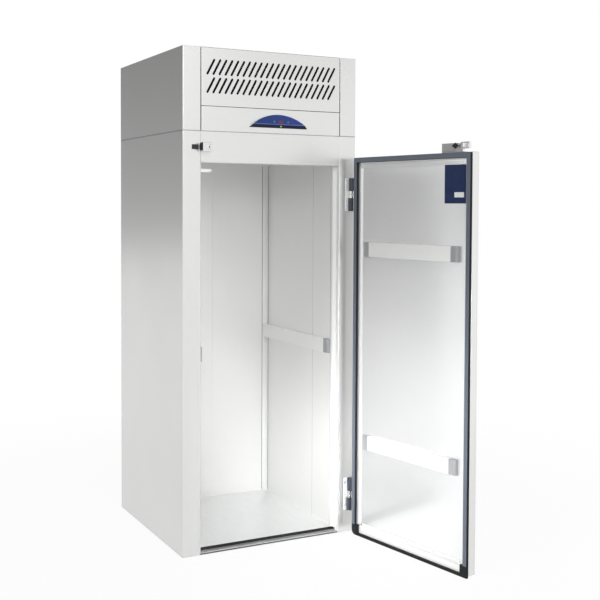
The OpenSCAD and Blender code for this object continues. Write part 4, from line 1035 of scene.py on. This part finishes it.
def frame_leaves():
    """Steel leaves with domed screws, and dark knuckles whose plan is a half circle on a block."""
    low, high = box("hinge_frame_leaves")
    leaf_front, knuckle_r, knuckle_h, half = float(high[1]) - 3 * MM, 10.5 * MM, 60 * MM, 76 * MM
    dome = np.array([(0, -1.6), (2.2, -1.4), (3.6, -0.6), (4, 0.2), (0, 0.2)]) * MM
    leaves, knuckles, screws = Shape(), Shape(), Shape()
    arc = np.linspace(math.pi, 2 * math.pi, 25)
    plan = np.stack([PIN[0] + knuckle_r * np.cos(arc), PIN[1] + knuckle_r * np.sin(arc)], axis=1)
    plan = np.concatenate([plan, [(PIN[0] + knuckle_r, leaf_front), (PIN[0] - knuckle_r, leaf_front)]])
    for z in (low[2] + half, high[2] - half):
        leaf = rounded(rectangle((low[0], z - half), (high[0], z + half)), 4 * MM, 5)
        leaves.prism(leaf, "y", leaf_front, high[1])
        knuckles.prism(plan, "z", z - half, z - half + knuckle_h)
        for up in (-52 * MM, 0, 52 * MM):
            screws.revolve(dome, (low[0] + 6 * MM, leaf_front, z + up), "y", 20)
    stands_for, body = ["hinge_frame_leaves"], "cabinet"
    piece("frame_leaves", leaves, body, "rail_steel", stands_for, bevel=0.6 * MM, segments=3)
    piece("frame_knuckles", knuckles, body, "hinge_dark", stands_for, bevel=0.8 * MM, segments=3)
    piece("frame_leaf_screws", screws, "cabinet", "chrome")


frame_leaves()
softened("latch_case", 0.8 * MM, segments=3)


def latch_ribs():
    """Upright ribs on the latch case's inner face, on the hinge side of its buffer."""
    high = shut_box("latch_case")[1]
    buffer_low, buffer_high = shut_box("latch_buffer")
    start, end = float(buffer_high[0]) + 3 * MM, float(high[0]) - 4 * MM
    foot, pitch, width = float(buffer_low[2]) - 8 * MM, 6.5 * MM, 3.2 * MM
    shape = Shape()
    for x in np.arange(start, end, pitch):
        plan = rectangle((x, high[1] - 0.2 * MM), (x + width, high[1] + 1.6 * MM))
        shape.prism(rounded(plan, [0, 0, 1 * MM, 1 * MM], 4), "z", foot, high[2] - 5 * MM)
    piece("latch_ribs", shape, "door", "latch_grey", shut=True)


latch_ribs()
softened("latch_buffer", 0.5 * MM, segments=3)
softened("latch_claw", 0.8 * MM, segments=3)
softened("latch_handle", 1.4 * MM, segments=4)
softened("lock_barrel", 0.4 * MM, segments=3)
print("the door is complete")

# %% [markdown]
# ## Floor and light
# The floor is a wide pale sheet. For the camera and for reflections it is mixed with plain white, so
# that it joins the background, and a part of the real shading stays as the soft shadow.

# %% Studio
def studio_floor():
    """A wide square on the ground. Its plain white goes from a share of 0.94 under the cabinet to 1
    where it meets the background."""
    reach = 30.0
    mesh = bpy.data.meshes.new("studio_floor")
    corners = [(x, y, 0) for x, y in rectangle((-reach, -reach), (reach, reach))]
    mesh.from_pydata(corners, [], [(0, 1, 2, 3)])
    floor = linked("studio_floor", mesh)
    made = Finish("studio_white", (0.86, 0.86, 0.86), 0.9)
    path = "ShaderNodeLightPath"
    mirrored = made.node(path, output="Is Glossy Ray")
    seen = made.node(path, output="Is Camera Ray") + mirrored
    seen = seen + made.node(path, output="Is Transmission Ray")
    white = made.node("ShaderNodeEmission", None, {"Color": (1, 1, 1, 1), "Strength": 1.0})
    lit = Wire(made, made.shader.outputs[0])
    spot = made.node("ShaderNodeTexCoord", output="Object")
    far = made.node("ShaderNodeVectorMath", {"operation": "LENGTH"}, {0: spot}, output="Value")
    share = far.between(1.0, 3.2) * 0.06 + 0.94
    mixed = made.node("ShaderNodeMixShader", None, {0: seen * share, 1: lit, 2: white})
    made.feed(made.tree.nodes["Material Output"].inputs["Surface"], mixed)
    mesh.materials.append(made.material)


studio_floor()


class Sky(Finish):
    """The world's nodes, with the same arithmetic as the finishes."""

    def __init__(self, name):
        world = bpy.data.worlds.new(name)
        bpy.context.scene.world = world
        world.use_nodes = True
        self.tree = world.node_tree
        self.direction = self.node("ShaderNodeTexCoord", output="Generated")

    def towards(self, axis, low, high):
        """0 where the direction's part along an axis is below low, 1 above high."""
        settings = {"operation": "DOT_PRODUCT"}
        part = self.node("ShaderNodeVectorMath", settings, {0: self.direction, 1: axis}, output="Value")
        return part.between(low, high)


CEILING, CORNER = 0.6, 0.75        # what reflections lose overhead, and behind the left
AMBIENT = 0.52                     # the strength as plain light


def surroundings():
    """White for the camera and for reflections, but greyer for these towards the ceiling and behind
    the left. As plain light it is dimmer."""
    sky = Sky("studio")
    high = sky.towards((0, 0, 1), 0.0, 0.6)
    left = sky.towards((-0.5, 0.75, 0.43), 0.68, 0.93)
    mirrored_tone = 1.0 - high * CEILING - left * CORNER
    path = "ShaderNodeLightPath"
    camera = sky.node(path, output="Is Camera Ray")
    mirrored = sky.node(path, output="Is Glossy Ray") + sky.node(path, output="Is Transmission Ray")
    strength = camera + mirrored * mirrored_tone + (1.0 - camera - mirrored) * AMBIENT
    background = sky.tree.nodes["Background"]
    background.inputs["Color"].default_value = (1, 1, 1, 1)
    sky.feed(background.inputs["Strength"], strength)


surroundings()


def softbox(name, at, target, size, power, spread=180):
    """A square area lamp at a point, turned towards another. A grid on it narrows its spread, which
    is an angle in degrees."""
    lamp = bpy.data.lights.new(name, "AREA")
    lamp.shape, lamp.size, lamp.energy = "SQUARE", size, power
    lamp.spread = math.radians(spread)
    obj = linked(name, lamp)
    obj.location = at
    direction = np.array(target) - np.array(at)
    obj.rotation_euler = Vector(direction).to_track_quat("-Z", "Y").to_euler()
    obj.visible_camera = False


softbox("key", (-0.8, -4.6, 3.6), (0, 0, 1.0), 3.0, 96)
softbox("right_side", (2.6, -2.6, 1.2), (0.45, -1.0, 1.0), 2.6, 3)
softbox("chamber_grid", (-0.66, -1.5, 0.7), (0.36, -0.16, 0.26), 0.4, 1.0, 32)
softbox("door_grid", (-1.3, -1.6, 0.9), (0.45, -0.85, 0.5), 0.5, 3.1, 48)
print("the studio is lit")

# %% [markdown]
# ## The camera
# The camera was worked out from the cabinet's own corners in the photograph: how fast its edges
# converge gives the lens, and where the upright edges stay upright gives the small shift.

# %% Camera
def camera():
    """A camera at a point, aimed by yaw and pitch and rolled by a fraction of a degree."""
    focal_px, image_px = 1029.45, 600
    centre_px = (307.8, 245.0)
    place = (-2.0043, -4.5557, 1.5212)
    yaw, pitch, roll = (math.radians(a) for a in (-27.872, -2.177, 0.274))
    level = math.cos(pitch)
    forward = np.array([-math.sin(yaw) * level, math.cos(yaw) * level, math.sin(pitch)])
    right = np.array([math.cos(yaw), math.sin(yaw), 0.0])
    up = np.cross(right, forward)
    rolled_right = math.cos(roll) * right + math.sin(roll) * up
    rolled_up = -math.sin(roll) * right + math.cos(roll) * up
    lens = bpy.data.cameras.new("camera")
    lens.sensor_width = 36.0
    lens.lens = focal_px / image_px * lens.sensor_width
    lens.shift_x = (image_px / 2 - centre_px[0]) / image_px
    lens.shift_y = (centre_px[1] - image_px / 2) / image_px
    obj = linked("camera", lens)
    turn = Matrix(np.stack([rolled_right, rolled_up, -forward], axis=1).tolist())
    obj.matrix_world = Matrix.Translation(place) @ turn.to_4x4()
    bpy.context.scene.camera = obj
    print(f"the lens is {lens.lens:.1f} mm")


camera()
bpy.context.scene.view_settings.view_transform = "Standard"
